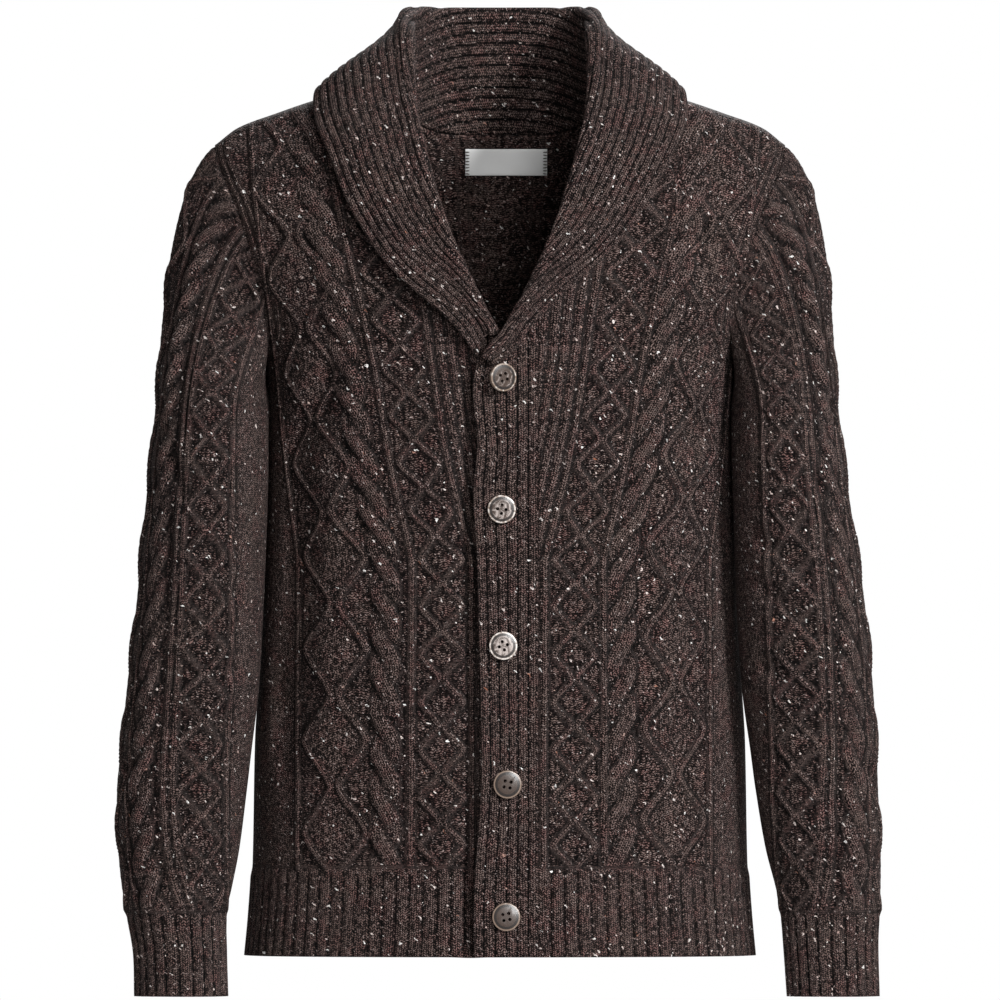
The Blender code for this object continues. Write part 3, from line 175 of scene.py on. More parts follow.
def towards(vectors, way):
    """The same lines, turned round where they look away from this way."""
    return vectors * np.where(dot(vectors, way) < 0, -1.0, 1.0)


def run_along(points):
    """The length of a line of places, from its start to each of them."""
    return np.concatenate(([0.0], np.cumsum(np.linalg.norm(np.diff(points, axis=0), axis=1))))


# %% The body's tables
TORSO = table(
    "height half_width front_depth back_depth",
    (-672, 203.5, 122, 108), (-640, 200.5, 120, 107), (-600, 198, 119, 106), (-500, 196, 118, 105),
    (-458, 193.5, 118, 105), (-400, 190.5, 118, 105), (-300, 188, 120, 107),
    (-230, 187.5, 122, 110), (-197, 190, 122, 111), (-178, 196.8, 121, 112),
    (-160, 203.8, 120, 112), (-135, 212, 119, 112), (-100, 225, 118, 111), (-69, 235, 118, 110),
    (-45, 241, 118, 110), (-26, 244, 118, 110), (40, 246, 118, 110))
SHOULDER_LINE = table(
    "across height", (0, 31), (60, 29), (85, 24), (115, 20), (146, 12.5), (180, 1), (210, -10.5),
    (228, -24), (250, -38))
SHOULDER_TIP, NECK_POINT = 228.0, 86.0
SHOULDER_ROUND = {FRONT: (220.0, 1.9), BACK: (150.0, 2.0)}
ARMHOLE = table(
    "height share", (-197, 1.0), (-190, .975), (-178, .935), (-160, .910), (-135, .896),
    (-100, .898), (-69, .906), (-45, .925), (-26, .9345))
BODY_FOLDS = table(             # troughs where depth is below zero
    "face across height run_across run_height width depth",
    (FRONT, -160, -385, 5, 165, 15, -8.5), (FRONT, -146, -240, 26, 62, 12, -6.0),
    (FRONT, -172, -470, -6, 90, 12, -4.8), (FRONT, 156, -300, -9, 130, 13, -4.2),
    (FRONT, 150, -470, 10, 100, 14, -2.6), (FRONT, 60, -560, 14, 70, 14, -2.2),
    (FRONT, -70, -580, -8, 60, 14, -2.2), (FRONT, 118, -215, -34, 40, 13, -2.2),
    (FRONT, -120, -175, 30, 36, 12, -2.0), (BACK, -140, -260, 45, 80, 16, -4.4),
    (BACK, 136, -270, -40, 90, 16, -4.4), (BACK, 10, -420, 60, 45, 20, -3.2),
    (BACK, -60, -540, 40, 60, 18, -3.0), (BACK, 70, -350, -50, 60, 16, -2.6),
    (BACK, 120, -500, -14, 90, 14, -3.4))


# %% [markdown]
# ## The body's form
# A level section of the worn body is a soft oval. Near the shoulders it flattens towards
# the shoulder line, where front and back meet. The left front lies a little further out,
# because it laps over the right one at the bands.

# %% The body's surface
def shoulder_height(x):
    return read(SHOULDER_LINE, "height", np.abs(x))


def furrow(aside):
    """Across a crease: a soft trough with a low ridge to each side of it."""
    return np.exp(-aside ** 2) - 0.35 * np.exp(-(np.abs(aside) - 1.7) ** 2)


def body_creases(face, x, z):
    depth = 0.0
    for on, across, height, run_x, run_z, width, rise in zip(*BODY_FOLDS.values()):
        length = math.hypot(run_x, run_z)
        along = ((x - across) * run_x + (z - height) * run_z) / length
        aside = ((x - across) * run_z - (z - height) * run_x) / length
        if on == face:
            ends = 1 - ease(0.35, 1.0, np.abs(along) / length)
            depth = depth + rise * furrow(aside / width) * ends
    return depth


def overlap_lift(x):
    start = BAND_AXIS + BAND_HALF
    return OVERLAP_LIFT * (1 - ease(start, start + OVERLAP_FADE, x))


def gutter(x, z):
    beside = np.exp(-((x - GUTTER_AT) / GUTTER_WIDTH) ** 2)
    return -GUTTER * beside * ease(-190, -235, z) * ease(-690, -640, z)


def torso(face, angle, z, lifted=False):
    """The body's plain outer face: the angle runs from the centre to the side seam."""
    half_width = read(TORSO, "half_width", z)
    depth = read(TORSO, "front_depth" if face == FRONT else "back_depth", z)
    x = np.sign(angle) * half_width * np.abs(np.sin(angle)) ** (2 / TORSO_POWER)
    inward = np.clip(np.cos(angle), 0.0, 1.0) ** (2 / TORSO_POWER)
    reach, power = SHOULDER_ROUND[face]
    below = np.clip((shoulder_height(x) - z) / reach, 0.0, 1.0)
    y = depth * inward * (1 - (1 - below) ** power) ** (1 / power)
    more = body_creases(face, x, z)
    if face == FRONT:
        more = more + (overlap_lift(x) if lifted else gutter(x, z))
    y = y + more * ease(0, 40, y)
    return np.stack((x, face * np.maximum(y, SEAM_GAP / 2), z + 0 * x), -1)


def angle_at(x, z):
    share = np.clip(np.abs(x) / read(TORSO, "half_width", z), 0.0, 1.0)
    return np.sign(x) * np.arcsin(share ** (TORSO_POWER / 2))


ARC_ANGLES = np.linspace(0, math.pi / 2, 241)
ARC = run_along(np.stack([size * np.clip(wave(ARC_ANGLES), 0, 1) ** (2 / TORSO_POWER)
                          for size, wave in zip(SECTION, (np.sin, np.cos))], -1))
SIDE = ARC[-1]


def flat_of(x, z):
    return np.sign(x) * np.interp(np.abs(angle_at(x, z)), ARC_ANGLES, ARC)


def angle_of(flat):
    return np.interp(np.abs(flat), ARC, ARC_ANGLES)


def share_of(flat):
    """How far out a flat place lies, as a share of the body's half width."""
    return np.sin(angle_of(flat)) ** (2 / TORSO_POWER)


def on_body(face, lifted=False):
    def surface(flat, z):
        return torso(face, np.sign(flat) * angle_of(flat), z, lifted)
    return surface


def facing(surface, u, v, turn, step=1.0):
    """The way a surface faces, from four near places."""
    across = surface(u + step, v) - surface(u - step, v)
    along = surface(u, v + step) - surface(u, v - step)
    return unit(np.cross(across, along)) * turn


def body_sheet(face, flat, z, rise, lifted=False):
    """Places at a height above the body's plain face."""
    surface = on_body(face, lifted)
    place = surface(flat, z)
    way = facing(surface, flat, z, -face)
    level = (z > shoulder_height(place[..., 0]) - 0.6) | (np.abs(flat) > SIDE - 0.6)
    way[..., 1] = np.where(level, 0.0, way[..., 1])
    return place + unit(way) * np.asarray(rise)[..., None]


print("half the body is", round(SIDE), "mm wide when laid flat")


# %% [markdown]
# ## Knitted relief
# Cable knitting is a ground of purl stitches, whose bumps show, with columns of knit
# stitches that stand out of it. A cloth here is a few arrays over the same grid: how far
# each point rises, whether purl or knit shows, and the stitch that it belongs to, counted
# across and up. A motif is laid over the ground wherever it stands higher, and it brings
# its own stitches, so the texture later follows each strand of a rope.

# %% Laying a motif over the ground
def ground(flat, z):
    return {"rise": np.zeros_like(flat), "purl": np.ones_like(flat),
            "wale": flat / STITCH, "course": z / COURSE}


def lay(cloth, rise, wale, course, purl=0.0):
    higher = rise > cloth["rise"] + 0.03
    for name, value in (("rise", rise), ("wale", wale), ("course", course), ("purl", purl)):
        cloth[name] = np.where(higher, value, cloth[name])


def ridge(offset, half, rise):
    return rise * np.cos(np.clip(offset / half, -1, 1) * math.pi / 2) ** 1.4


def rib_crest(share, power):
    """From 0 in a groove to 1 on the rib, which is broad and round."""
    return 1 - (1 - np.sin(math.pi * (share % 1.0))) ** power


def zigzag(z, low, repeat, narrow, wide):
    """A line that runs between two widths: narrow at low, wide half a repeat above it."""
    phase = (z - low) / repeat
    straight = 1 - np.abs(2 * (phase % 1.0) - 1)
    rounded = (1 - np.cos(2 * math.pi * phase)) / 2
    wave = 0.45 * straight + 0.55 * rounded
    return narrow + (wide - narrow) * wave


# %% Rope, lattice, diamond and ribs
STRAND = 6.9                        # half the width of a strand of a rope


def rope(cloth, offset, z, low, lean, half=13.2, rise=5.0, repeat=32.0):
    """Two strands that swap sides at each crossing; the one that crosses lies on top."""
    swing = lean * (half - STRAND - 0.5)
    for strand in (0, 1):
        phase = math.pi * ((z - low) / repeat + strand)
        aside = offset + swing * np.cos(phase)
        top = rise * (0.58 + 0.42 * np.sin(phase))
        t = np.clip(aside / (STRAND + np.abs(np.sin(phase))), -1, 1)
        slope = swing * math.pi / repeat * np.sin(phase)
        lay(cloth, top * np.sqrt(1 - t ** 2), aside / STITCH, (z + aside * slope) / COURSE)


def lattice(cloth, offset, z, low, half=16.0, rise=2.9, repeat=38.0):
    for side in (-1, 1):
        rib(cloth, offset - side * zigzag(z, low, repeat, 1.6, half), z, 3.6, rise)


def diamond(cloth, offset, z, widest, half=26.0, rise=3.2, repeat=73.2):
    """Two crossing lines, with moss knitting inside them."""
    line = zigzag(z, widest - repeat / 2, repeat, 3.0, half)
    within = ease(-1.5, 3.5, line - np.abs(offset) - 2.0)
    seeds = np.cos(math.pi * offset / STITCH) * np.cos(math.pi * z / (1.6 * COURSE))
    lay(cloth, within * (0.8 + 0.3 * seeds), offset / STITCH, z / COURSE,
        0.5 + 0.5 * np.sign(seeds))
    for side in (-1, 1):
        rib(cloth, offset - side * line, z, 4.4, rise, 0.0)


def rib(cloth, offset, z, half=3.4, rise=2.4, shift=0.5):
    lay(cloth, ridge(offset, half, rise), offset / STITCH + shift, z / COURSE)


def flat_rib(across, pitch, up, rise):
    """A cloth of nothing but ribs, one stitch to each rib and one to each groove."""
    crest = rib_crest(across / pitch, 2.0)
    return {"rise": rise * crest - 0.4, "purl": np.where(crest > 0.5, 0.0, 1.0),
            "wale": 2 * across / pitch - 0.5, "course": up / COURSE + 0 * across}


def fade(cloth, strength):
    cloth["rise"] = cloth["rise"] * strength


def deep_rib(cloth, across, width, pitch, z, top):
    """Knit ribs with purl grooves, a whole number of them, as at a hem or a cuff."""
    across = across * round(width / pitch) / width * pitch
    strength = 1 - ease(top - 4, top + 6, z)
    crest = rib_crest(across / pitch, 2.4)
    cloth["rise"] = cloth["rise"] * (1 - strength) + (2.6 * crest - 1.3) * strength
    for name, value in (("purl", np.where(crest > 0.55, 0.0, 1.0)),
                        ("wale", 3 * across / pitch - 0.5), ("course", z / COURSE)):
        cloth[name] = np.where(strength > 0.02, value, cloth[name])


# %% [markdown]
# ## From a grid to a knitted wall
# Cloth is easiest to shape as a grid whose rows and columns follow the pattern piece.
# A grid primitive gives the faces, its corners are moved to their places all at once, and
# Solidify gives the wall. The inner face of a knit is plain, so after Solidify the inner
# corners go to their own places. The stitch counts are kept as a UV map.

# %% How far a stitch stands out, for painted shade and light
def relief_shade_and_light_of(rise):
    """How far each point stands out of the cloth close to it, and a little further off. The finish
    paints shade where this is below zero and light where it is above.
    """
    total = 0.0
    for reach, weight in ((1, 1.0), (3, 0.5)):
        near = rise
        for axis in (0, 1):
            wide = np.pad(near, [(reach, reach) if k == axis else (0, 0) for k in (0, 1)], "edge")
            near = sum(np.take(wide, np.arange(k, k + rise.shape[axis]), axis)
                       for k in range(2 * reach + 1)) / (2 * reach + 1)
        total = total + weight * (rise - near)
    return total


def fetch(items, key, size):
    """One property of a mesh's parts, as an array with a row for each of them."""
    values = np.zeros(len(items) * size, np.float32)
    items.foreach_get(key, values)
    return values.reshape(-1, size)


# %% The grid maker
def shaped_grid(name, outer, inner, cloth):
    """A grid moved to its outer places, which also carries its stitches and inner places."""
    rows, columns = outer.shape[:2]
    deselect()
    bpy.ops.mesh.primitive_grid_add(x_subdivisions=columns - 1, y_subdivisions=rows - 1, size=2)
    piece = bpy.context.object
    mesh = piece.data
    piece.name = mesh.name = name
    at = (fetch(mesh.vertices, "co", 3) + 1) / 2
    column, row = (np.rint(at[:, k] * (count - 1)).astype(int)
                   for k, count in enumerate((columns, rows)))
    corners = np.zeros(len(mesh.loops), int)
    mesh.loops.foreach_get("vertex_index", corners)
    stitches = np.stack((cloth["wale"][row, column], cloth["course"][row, column]), -1)
    mesh.uv_layers[0].name = "stitches"
    mesh.uv_layers[0].uv.foreach_set("vector", stitches[corners].ravel())
    for kind, values in (("relief_shade_and_light", relief_shade_and_light_of(cloth["rise"])), ("purl", cloth["purl"])):
        mesh.attributes.new(kind, "FLOAT", "POINT").data.foreach_set(
            "value", values[row, column].astype(np.float32))
    mesh.attributes.new("inside", "FLOAT_VECTOR", "POINT").data.foreach_set(
        "vector", (inner[row, column] * MM).astype(np.float32).ravel())
    mesh.vertices.foreach_set("co", (outer[row, column] * MM).ravel())
    mesh.update()
    return piece


def knitted(name, outer, inner, cloth, tube=False):
    """A wall of knitting from rows of outer places, inner places and their stitches."""
    piece = shaped_grid(name, outer, inner, cloth)
    mesh = piece.data
    rows, columns = outer.shape[:2]
    middle = mesh.polygons[(rows // 2) * (columns - 1) + columns // 2]
    corner = mesh.vertices[middle.vertices[0]]
    out = corner.co - Vector(mesh.attributes["inside"].data[corner.index].vector)
    bpy.ops.object.mode_set(mode="EDIT")
    bpy.ops.mesh.select_all(action="SELECT")
    if middle.normal.dot(out) < 0:
        bpy.ops.mesh.flip_normals()
    if tube:
        bpy.ops.mesh.remove_doubles(threshold=0.00005)
    bpy.ops.object.mode_set(mode="OBJECT")
    count = len(mesh.vertices)
    wall = piece.modifiers.new("wall", "SOLIDIFY")
    wall.thickness, wall.offset = WALL * MM, -1.0
    bpy.ops.object.modifier_apply(modifier=wall.name)
    places = fetch(mesh.vertices, "co", 3)
    places[count:] = fetch(mesh.attributes["inside"].data, "vector", 3)[count:]
    mesh.vertices.foreach_set("co", places.ravel())
    for kind, value in (("relief_shade_and_light", 0.0), ("purl", 1.0)):
        known = fetch(mesh.attributes[kind].data, "value", 1)
        known[count:] = value
        mesh.attributes[kind].data.foreach_set("value", known.ravel())
    mesh.attributes.remove(mesh.attributes["inside"])
    mesh.update()
    bpy.ops.object.shade_smooth()
    print(name, len(mesh.polygons) * 2, "triangles")
    return piece


def panel(name, face, flat, z, cloth, lifted=False):
    """A piece that lies on the body: its relief outside, plain inside."""
    outer, inner = (body_sheet(face, flat, z, rise, lifted)
                    for rise in (cloth["rise"], np.full_like(flat, -WALL)))
    return knitted(name, outer, inner, cloth)


# %% [markdown]
# ## Stations of the collar
# The collar is one long band. Half of it is described by stations from the centre back,
# over the shoulder and down the lapel: where it is sewn on, where it folds over and where
# its free edge lies. The fronts need them too, because their neck edge follows the seam.

# %% The collar's table
STATIONS = table(
    "at face seam_x seam_z fold_x fold_y fold_z edge_x edge_z stand_off turn bulge",
    (0, BACK, 0, -15, 0, 90, 86, 0, -25, 8, 6.0, 2),
    (22, BACK, 22, -15, 22, 89, 86, 31, -24, 8, 6.0, 2),
    (45, BACK, 44, -14, 43, 84, 86, 64, -20, 8, 6.0, 2),
    (67, BACK, 62, -9, 59, 70, 86, 94, -11, 8, 6.0, 3),
    (89, BACK, 76, 2, 68, 48, 85, 119, 2, 7.5, 6.0, 4),
    (110, BACK, 83, 13, 70, 28, 82, 136, 9, 7.5, 6.0, 5),
    (131, FRONT, 86, 23.9, 70, 6, 75, 145, 11, 7.5, 6.0, 6),
    (153, FRONT, 86, 14, 69, -18, 65, 147, 3, 7.5, 6.0, 7),
    (176, FRONT, 86, 0, 68.5, -36, 45, 146, -8, 7.5, 6.0, 7),
    (200, FRONT, 85, -18, 68, -56, 22, 142, -20, 7.5, 6.0, 7),
    (226, FRONT, 82, -38, 65, -75, -4, 134, -37, 7.5, 5.6, 6),
    (254, FRONT, 77, -60, 58, -92, -34, 120, -63, 7.5, 5.4, 5),
    (292, FRONT, 66, -88, 46, -110, -76, 101, -93, 7.5, 5.2, 4),
    (320, FRONT, 54, -108, 36, -119, -103, 81, -115, 7.5, 5.0, 3),
    (345, FRONT, 42, -125, 26, -123, -125, 59, -134, 7.2, 4.8, 2),
    (370, FRONT, 30, -143, 16, -127, -146, 39, -153, 6.8, 4.6, 1.5),
    (392, FRONT, 18, -160, 7, -130, -165, 25, -170, 6.2, 4.4, 1),
    (406, FRONT, 10, -174, 1, -131, -176, 13, -187, 6.0, 4.2, 1))
SHOULDER_STATION, LAST_STATION = 131, 405.0
LAPEL = np.linspace(SHOULDER_STATION, LAST_STATION, 400)
LAPEL_X, LAPEL_Z = read(STATIONS, "seam_x", LAPEL), read(STATIONS, "seam_z", LAPEL)


def seam_across(z):
    """How far from the centre the collar seam crosses a front at this height."""
    return np.interp(z, LAPEL_Z[::-1], LAPEL_X[::-1])


def band_seam(side):
    """How far across a front is sewn to its band."""
    return BAND_AXIS + side * (BAND_HALF + BAND_GAP / 2)


def band_top(side):
    return float(np.interp(BAND_AXIS * side + BAND_HALF, LAPEL_X[::-1], LAPEL_Z[::-1]))


# %% [markdown]
# ## Fronts
# Each front is knitted from the hem up: a deep rib, then, from the band out, a wedge of
# narrow ribs, a lattice between two ribs, a rope, a column of diamonds and an edge rib.
# Above the waist the columns fan out towards the shoulder. The rows of the grid are level
# up to the underarm, and from there they turn to follow the shoulder line.

# %% Where the columns of a front run
FAN = table(
    "height lean", (-356, 0), (-316, 9.6), (-274, 19), (-220, 28), (-161, 38), (-105, 49),
    (-49, 58), (0, 62), (30, 63))
FAN_SHARE = {"lattice": 1.0, "rope": 1.0, "diamond": 0.65, "edge": 0.6}
FRONT_MOTIFS = {
    -1: {"lattice": 52.8, "rope": 97.6, "diamond": 138.0, "edge": 163.0, "widest": -573.0},
    1: {"lattice": 52.8, "rope": 90.0, "diamond": 133.0, "edge": 157.0, "widest": -563.0},
}
WEDGE_RIB_PITCH = 8.6


def armhole_flat(z):
    return np.interp(np.arcsin(read(ARMHOLE, "share", z) ** (TORSO_POWER / 2)), ARC_ANGLES, ARC)


def motif_line(side, motif, z):
    x = BAND_AXIS + side * (FRONT_MOTIFS[side][motif]
                            + read(FAN, "lean", z) * FAN_SHARE[motif])
    limit = read(TORSO, "half_width", z)
    return flat_of(np.clip(x, -limit, limit), z)


# %% The rows of a body piece
def eased_border(place):
    """A side seam and armhole as one soft line, which the columns inside them follow."""
    flat, z = place
    if abs(flat) < 100:
        return flat
    return math.copysign(SIDE * (1 - 0.27 * float(ease(-300, -120, z))), flat)


def body_rows(left, right, levels, columns):
    """Flat places in rows: level below the underarm, then turning to the shoulder line."""
    s = np.linspace(0, 1, columns)

    def row(start, end):
        soft_start, soft_end = eased_border(start), eased_border(end)
        return (soft_start + s * (soft_end - soft_start) + s ** 6 * (end[0] - soft_end)
                + (1 - s) ** 6 * (start[0] - soft_start))

    share, crest = share_of(row(left(1.0), right(1.0))), 0.0 * s
    for _ in range(8):      # the top row lies on the shoulder line, whose height it sets
        crest = shoulder_height(read(TORSO, "half_width", crest) * share)
    rows = []
    for level in levels:
        w = max(0.0, (level - UNDERARM) / (1.0 - UNDERARM))
        flat = row(*(edge(w if level > UNDERARM else level) for edge in (left, right)))
        z = UNDERARM + w * (crest - UNDERARM) if level > UNDERARM else 0 * s + level
        rows.append(np.stack((flat, z), -1))
    grid = np.array(rows)
    return grid[..., 0], grid[..., 1]


def levels_up(low, spacing, upper):
    """Heights of the rows: millimetres up to the underarm, then a share of the yoke."""
    lower = np.linspace(low, UNDERARM, round((UNDERARM - low) / spacing) + 1)
    shares = np.linspace(0, 1, upper + 1)[1:]
    return np.concatenate((lower, UNDERARM + shares * (1.0 - UNDERARM)))


def side_edge(side):
    """The side seam and, above the underarm, the armhole, by level."""
    def place(level):
        if level <= UNDERARM:
            return side * SIDE, level
        z = UNDERARM + level * (shoulder_height(SHOULDER_TIP) - UNDERARM)
        return side * float(armhole_flat(z)), z
    return place


# %% The relief of a body piece
PATTERN_LOW = HEM_RIB_TOP + 4       # the cables start just above the hem's rib
LATTICE_RIB = 23.0                  # from a lattice's middle to the rib beside it


def edge_ribs(cloth, flat, z, across, width):
    """Ribs round the armhole and at the hem; the relief fades where it is sewn."""
    rim = armhole_flat(z) - np.abs(flat)
    for offset in (5.5, 12.5):
        rib(cloth, np.where(z > -180, rim - offset, 99.0), z, 3.2, 1.1)
    fade(cloth, ease(PATTERN_LOW - 8, PATTERN_LOW + 2, z))
    deep_rib(cloth, across, width, HEM_RIB_PITCH, z, HEM_RIB_TOP)
    seam = np.minimum(np.abs(np.abs(flat) - SIDE), rim + 90.0 * (z < -190))
    below_shoulder = shoulder_height(read(TORSO, "half_width", z) * share_of(flat)) - z
    fade(cloth, ease(0.0, 2.5, seam) * ease(0.0, 8.0, below_shoulder))


def front_knit(side, flat, z):
    """All the relief of a front, from its hem rib to its shoulder."""
    cloth = ground(flat, z)
    lattice_at, rope_at, diamond_at, edge_at = (
        flat - motif_line(side, motif, z) for motif in ("lattice", "rope", "diamond", "edge"))
    diamond(cloth, diamond_at, z, FRONT_MOTIFS[side]["widest"])
    rope(cloth, rope_at, z, PATTERN_LOW, side)
    lattice(cloth, lattice_at, z, PATTERN_LOW)
    out = lattice_at * side
    for offset in (LATTICE_RIB, -LATTICE_RIB):
        rib(cloth, out - offset, z)
    for k in range(1, 9):
        rib(cloth, out + LATTICE_RIB + WEDGE_RIB_PITCH * k, z, WEDGE_RIB_PITCH / 2, 2.2)
    rib(cloth, edge_at * side - 5.0, z)
    cloth["purl"] = np.where((edge_at * side > 9.0) & (z < -190), 0.0, cloth["purl"])
    inner = flat_of(band_seam(side), HEM)
    edge_ribs(cloth, flat, z, (flat - inner) * side, abs(side * SIDE - inner))
    at_band = 1.2 * ease(3.0, 0.0, np.abs(flat - inner))
    cloth["rise"] = np.maximum(cloth["rise"], np.where(z < -200, at_band, -9.0))
    return cloth


# %% Knit the fronts
def front(name, side, spacing=(1.95, 2.7), upper=84):
    def inner_edge(level):
        if level <= UNDERARM:
            return float(flat_of(band_seam(side), level)), level
        z = UNDERARM + level * (shoulder_height(NECK_POINT) - UNDERARM)
        x = band_seam(side) if z < band_top(side) else side * seam_across(z)
        return float(flat_of(x, z)), z

    columns = round((SIDE - abs(flat_of(band_seam(side), HEM))) / spacing[0])
    levels = levels_up(HEM, spacing[1], upper)
    flat, z = body_rows(inner_edge, side_edge(side), levels, columns)
    return panel(name, FRONT, flat, z, front_knit(side, flat, z), side > 0)


right_front = front("right_front", -1)
left_front = front("left_front", 1)

# %% [markdown]
# ## Back
# The back repeats the fronts' columns about its centre: a lattice in the middle, a rope,
# diamonds and an edge rib to each side. Its neck edge dips a little below the shoulder
# line, where the collar is sewn on.

# %% Knit the back
BACK_MOTIFS = {"rope": 46.0, "diamond": 92.0, "edge": 123.0, "widest": -573.0}
BACK_NECK = np.linspace(0, SHOULDER_STATION, 120)
BACK_NECK_X = read(STATIONS, "seam_x", BACK_NECK)
BACK_NECK_Z = read(STATIONS, "seam_z", BACK_NECK)


def back(name, columns=182, spacing=3.0, upper=76):
    flat, z = body_rows(side_edge(-1), side_edge(1), levels_up(HEM, spacing, upper), columns)
    x = YOKE_HALF * share_of(flat[-1])
    dip = np.where(x < NECK_POINT, np.interp(x, BACK_NECK_X, BACK_NECK_Z), z[-1])
    share = np.clip((z - UNDERARM) / (z[-1] - UNDERARM), 0, 1)
    z = z + share ** 2 * (np.minimum(dip, z[-1]) - z[-1])
    cloth = ground(flat, z)
    for side in (-1, 1):
        diamond(cloth, flat - side * BACK_MOTIFS["diamond"], z, BACK_MOTIFS["widest"])
        rope(cloth, flat - side * BACK_MOTIFS["rope"], z, PATTERN_LOW, side)
        for offset in (LATTICE_RIB, BACK_MOTIFS["edge"]):
            rib(cloth, flat - side * offset, z)
    lattice(cloth, flat, z, PATTERN_LOW)
    edge_ribs(cloth, flat, z, flat + SIDE, 2 * SIDE)
    return panel(name, BACK, flat, z, cloth)


back_panel = back("back_panel")

# %% [markdown]
# ## Bands
# The button band and the buttonhole band are strips of rib along the centre front. The
# one with the buttonholes lies on top, and its free edge wanders a little, as a worn
# knitted edge does.

# %% Knit the bands
BAND_RIBS = 6
FREE_EDGE = {       # past the collar's seam, as far as the band's other edge
    False: [(4, -182), (16, -189), (BAND_AXIS + BAND_HALF, -196)],
    True: [(-15.1, -193.5), (-9, -187.5), (-4, -183), (3, -179)],
}
EDGE_WAVE = table(
    "height across", (-672, -3.5), (-614, -3.0), (-566, .5), (-520, 2.6), (-402, 0), (-357, -1),
    (-302, -4.0), (-264, -1), (-220, -4.5), (-192, 0))


def band(name, over, columns=39, rows=186):
    left, right = BAND_AXIS - BAND_HALF, BAND_AXIS + BAND_HALF
    side = 1 if over else -1
    if over:
        right -= BAND_GAP / 2
    else:
        left += BAND_GAP / 2
    seam = [(side * x, z) for x, z in zip(LAPEL_X, LAPEL_Z) if x < BAND_AXIS * side + BAND_HALF]
    line = np.array(sorted(seam + FREE_EDGE[over]))
    x = np.linspace(left, right, columns)
    top = np.interp(x, line[:, 0], line[:, 1])
    v = np.linspace(0, 1, rows)[:, None]
    z = HEM + v * (top - HEM)[None, :]
    x = np.broadcast_to(x, z.shape)
    wander = read(EDGE_WAVE, "across", z) * ease(right - 8, left, x) if over else 0.0
    cloth = flat_rib(x - left, 2 * BAND_HALF / BAND_RIBS, z, 2.0)
    joined = right - x if over else x - left
    cloth["rise"] = np.maximum(cloth["rise"], 1.2 * ease(3.0, 0.0, joined))
    return panel(name, FRONT, flat_of(x + wander, z), z, cloth, over)


under_band = band("under_band", False)
over_band = band("over_band", True)

# %% [markdown]
# ## Sleeves
# A sleeve is a tube: level rings from the cuff to the underarm, and above them a cap that
# bends from the topmost ring into the armhole. Its columns mirror about the outer line,
# which has diamonds, and the cloth under the arm is plain purl.

# %% The sleeves' tables
SLEEVE_RING, SLEEVE_END = -240.0, -704.0
SLEEVE_CAP_LENGTH, UNDERARM_LENGTH = 232.0, 44.0
CAP_PULL = 1.05                     # how far the cap runs on before it bends
SLEEVES = {
    -1: table("height outer inner middle half_depth",
              (-704, 291, 218, -52, 37), (-669, 292, 219, -52, 36), (-640, 297, 219, -51, 38),
              (-617, 301, 214, -49, 42), (-586, 304, 208, -47, 46), (-539, 305, 202, -44, 49),
              (-509, 302, 198.5, -42, 52), (-458, 297, 192.5, -44, 55), (-387, 289, 188.5, -43, 61),
              (-340, 285, 186.5, -42, 65), (-292, 280, 185, -41, 69), (-240, 275, 184, -30, 73)),
    1: table("height outer inner middle half_depth",
             (-704, 302, 230, -52, 37), (-662, 301, 227, -52, 36), (-640, 302, 225, -51, 38),
             (-617, 303, 220, -49, 42), (-586, 303, 212, -47, 46), (-539, 301, 204, -44, 49),
             (-509, 300, 200, -42, 52), (-458, 297, 193, -44, 55), (-387, 290, 188.5, -43, 61),
             (-326, 281, 186.5, -42, 66), (-284, 275, 185, -41, 69), (-240, 270, 184, -30, 73)),
}
SLEEVE_FOLDS = table(
    "turn height run_turn run_height width depth",
    (.28, -395, .10, 26, 11, -4.0), (.31, -345, .10, 22, 10, -3.4),
    (-.28, -400, -.09, 28, 12, -4.0), (.16, -280, -.06, 40, 13, -2.4),
    (-.18, -300, .07, 40, 14, -2.0), (.10, -520, .08, 30, 12, -2.6),
    (-.12, -560, -.08, 30, 12, -2.6), (.30, -450, .10, 20, 10, -2.8),
    (.22, -600, .09, 22, 11, -2.4), (-.26, -480, -.10, 24, 12, -2.8))
SLEEVE_MOTIFS = {"rope": 46.0, "lattice": 94.0, "edge": 118.0}
SLEEVE_RIBS = (29.5, 67.5, 74.5, 117.0)


# %% Rings of a sleeve
def sleeve_ring(side, turn, z):
    """A point of a level ring: turn 0 is the outermost, .25 the front, .5 the body's side."""
    rows = SLEEVES[side]
    outer, inner = read(rows, "outer", z), read(rows, "inner", z)
    half_depth = read(rows, "half_depth", z)
    half_width = (outer - inner) / 2
    cosine, sine = np.cos(2 * math.pi * turn), np.sin(2 * math.pi * turn)
    power = 2 / SLEEVE_POWER
    x = (outer + inner) / 2 + np.sign(cosine) * half_width * np.abs(cosine) ** power
    y = read(rows, "middle", z) - np.sign(sine) * half_depth * np.abs(sine) ** power
    fold = 0.0
    for at, height, run_turn, run_height, width, rise in zip(*SLEEVE_FOLDS.values()):
        gap = (turn - at + 0.5) % 1.0 - 0.5
        aside = (z - height - gap / run_turn * run_height) / width
        fold = fold + rise * furrow(aside) * (1 - ease(0.4, 1.0, np.abs(gap / run_turn)))
    out = unit(np.stack((cosine * half_depth, -sine * half_width), -1)) * fold[..., None]
    return np.stack((side * (x + out[..., 0]), y + out[..., 1], z + 0 * x), -1)


GIRTHS = {}
for side in (-1, 1):
    heights = np.arange(SLEEVE_END, SLEEVE_RING + 1, 8)
    turns = np.linspace(0, 1, 97)
    rings = sleeve_ring(side, turns[None, :], heights[:, None] + 0 * turns[None, :])
    GIRTHS[side] = (heights, np.linalg.norm(np.diff(rings, axis=1), axis=2).sum(1))


def girth(side, z):
    return np.interp(z, *GIRTHS[side])


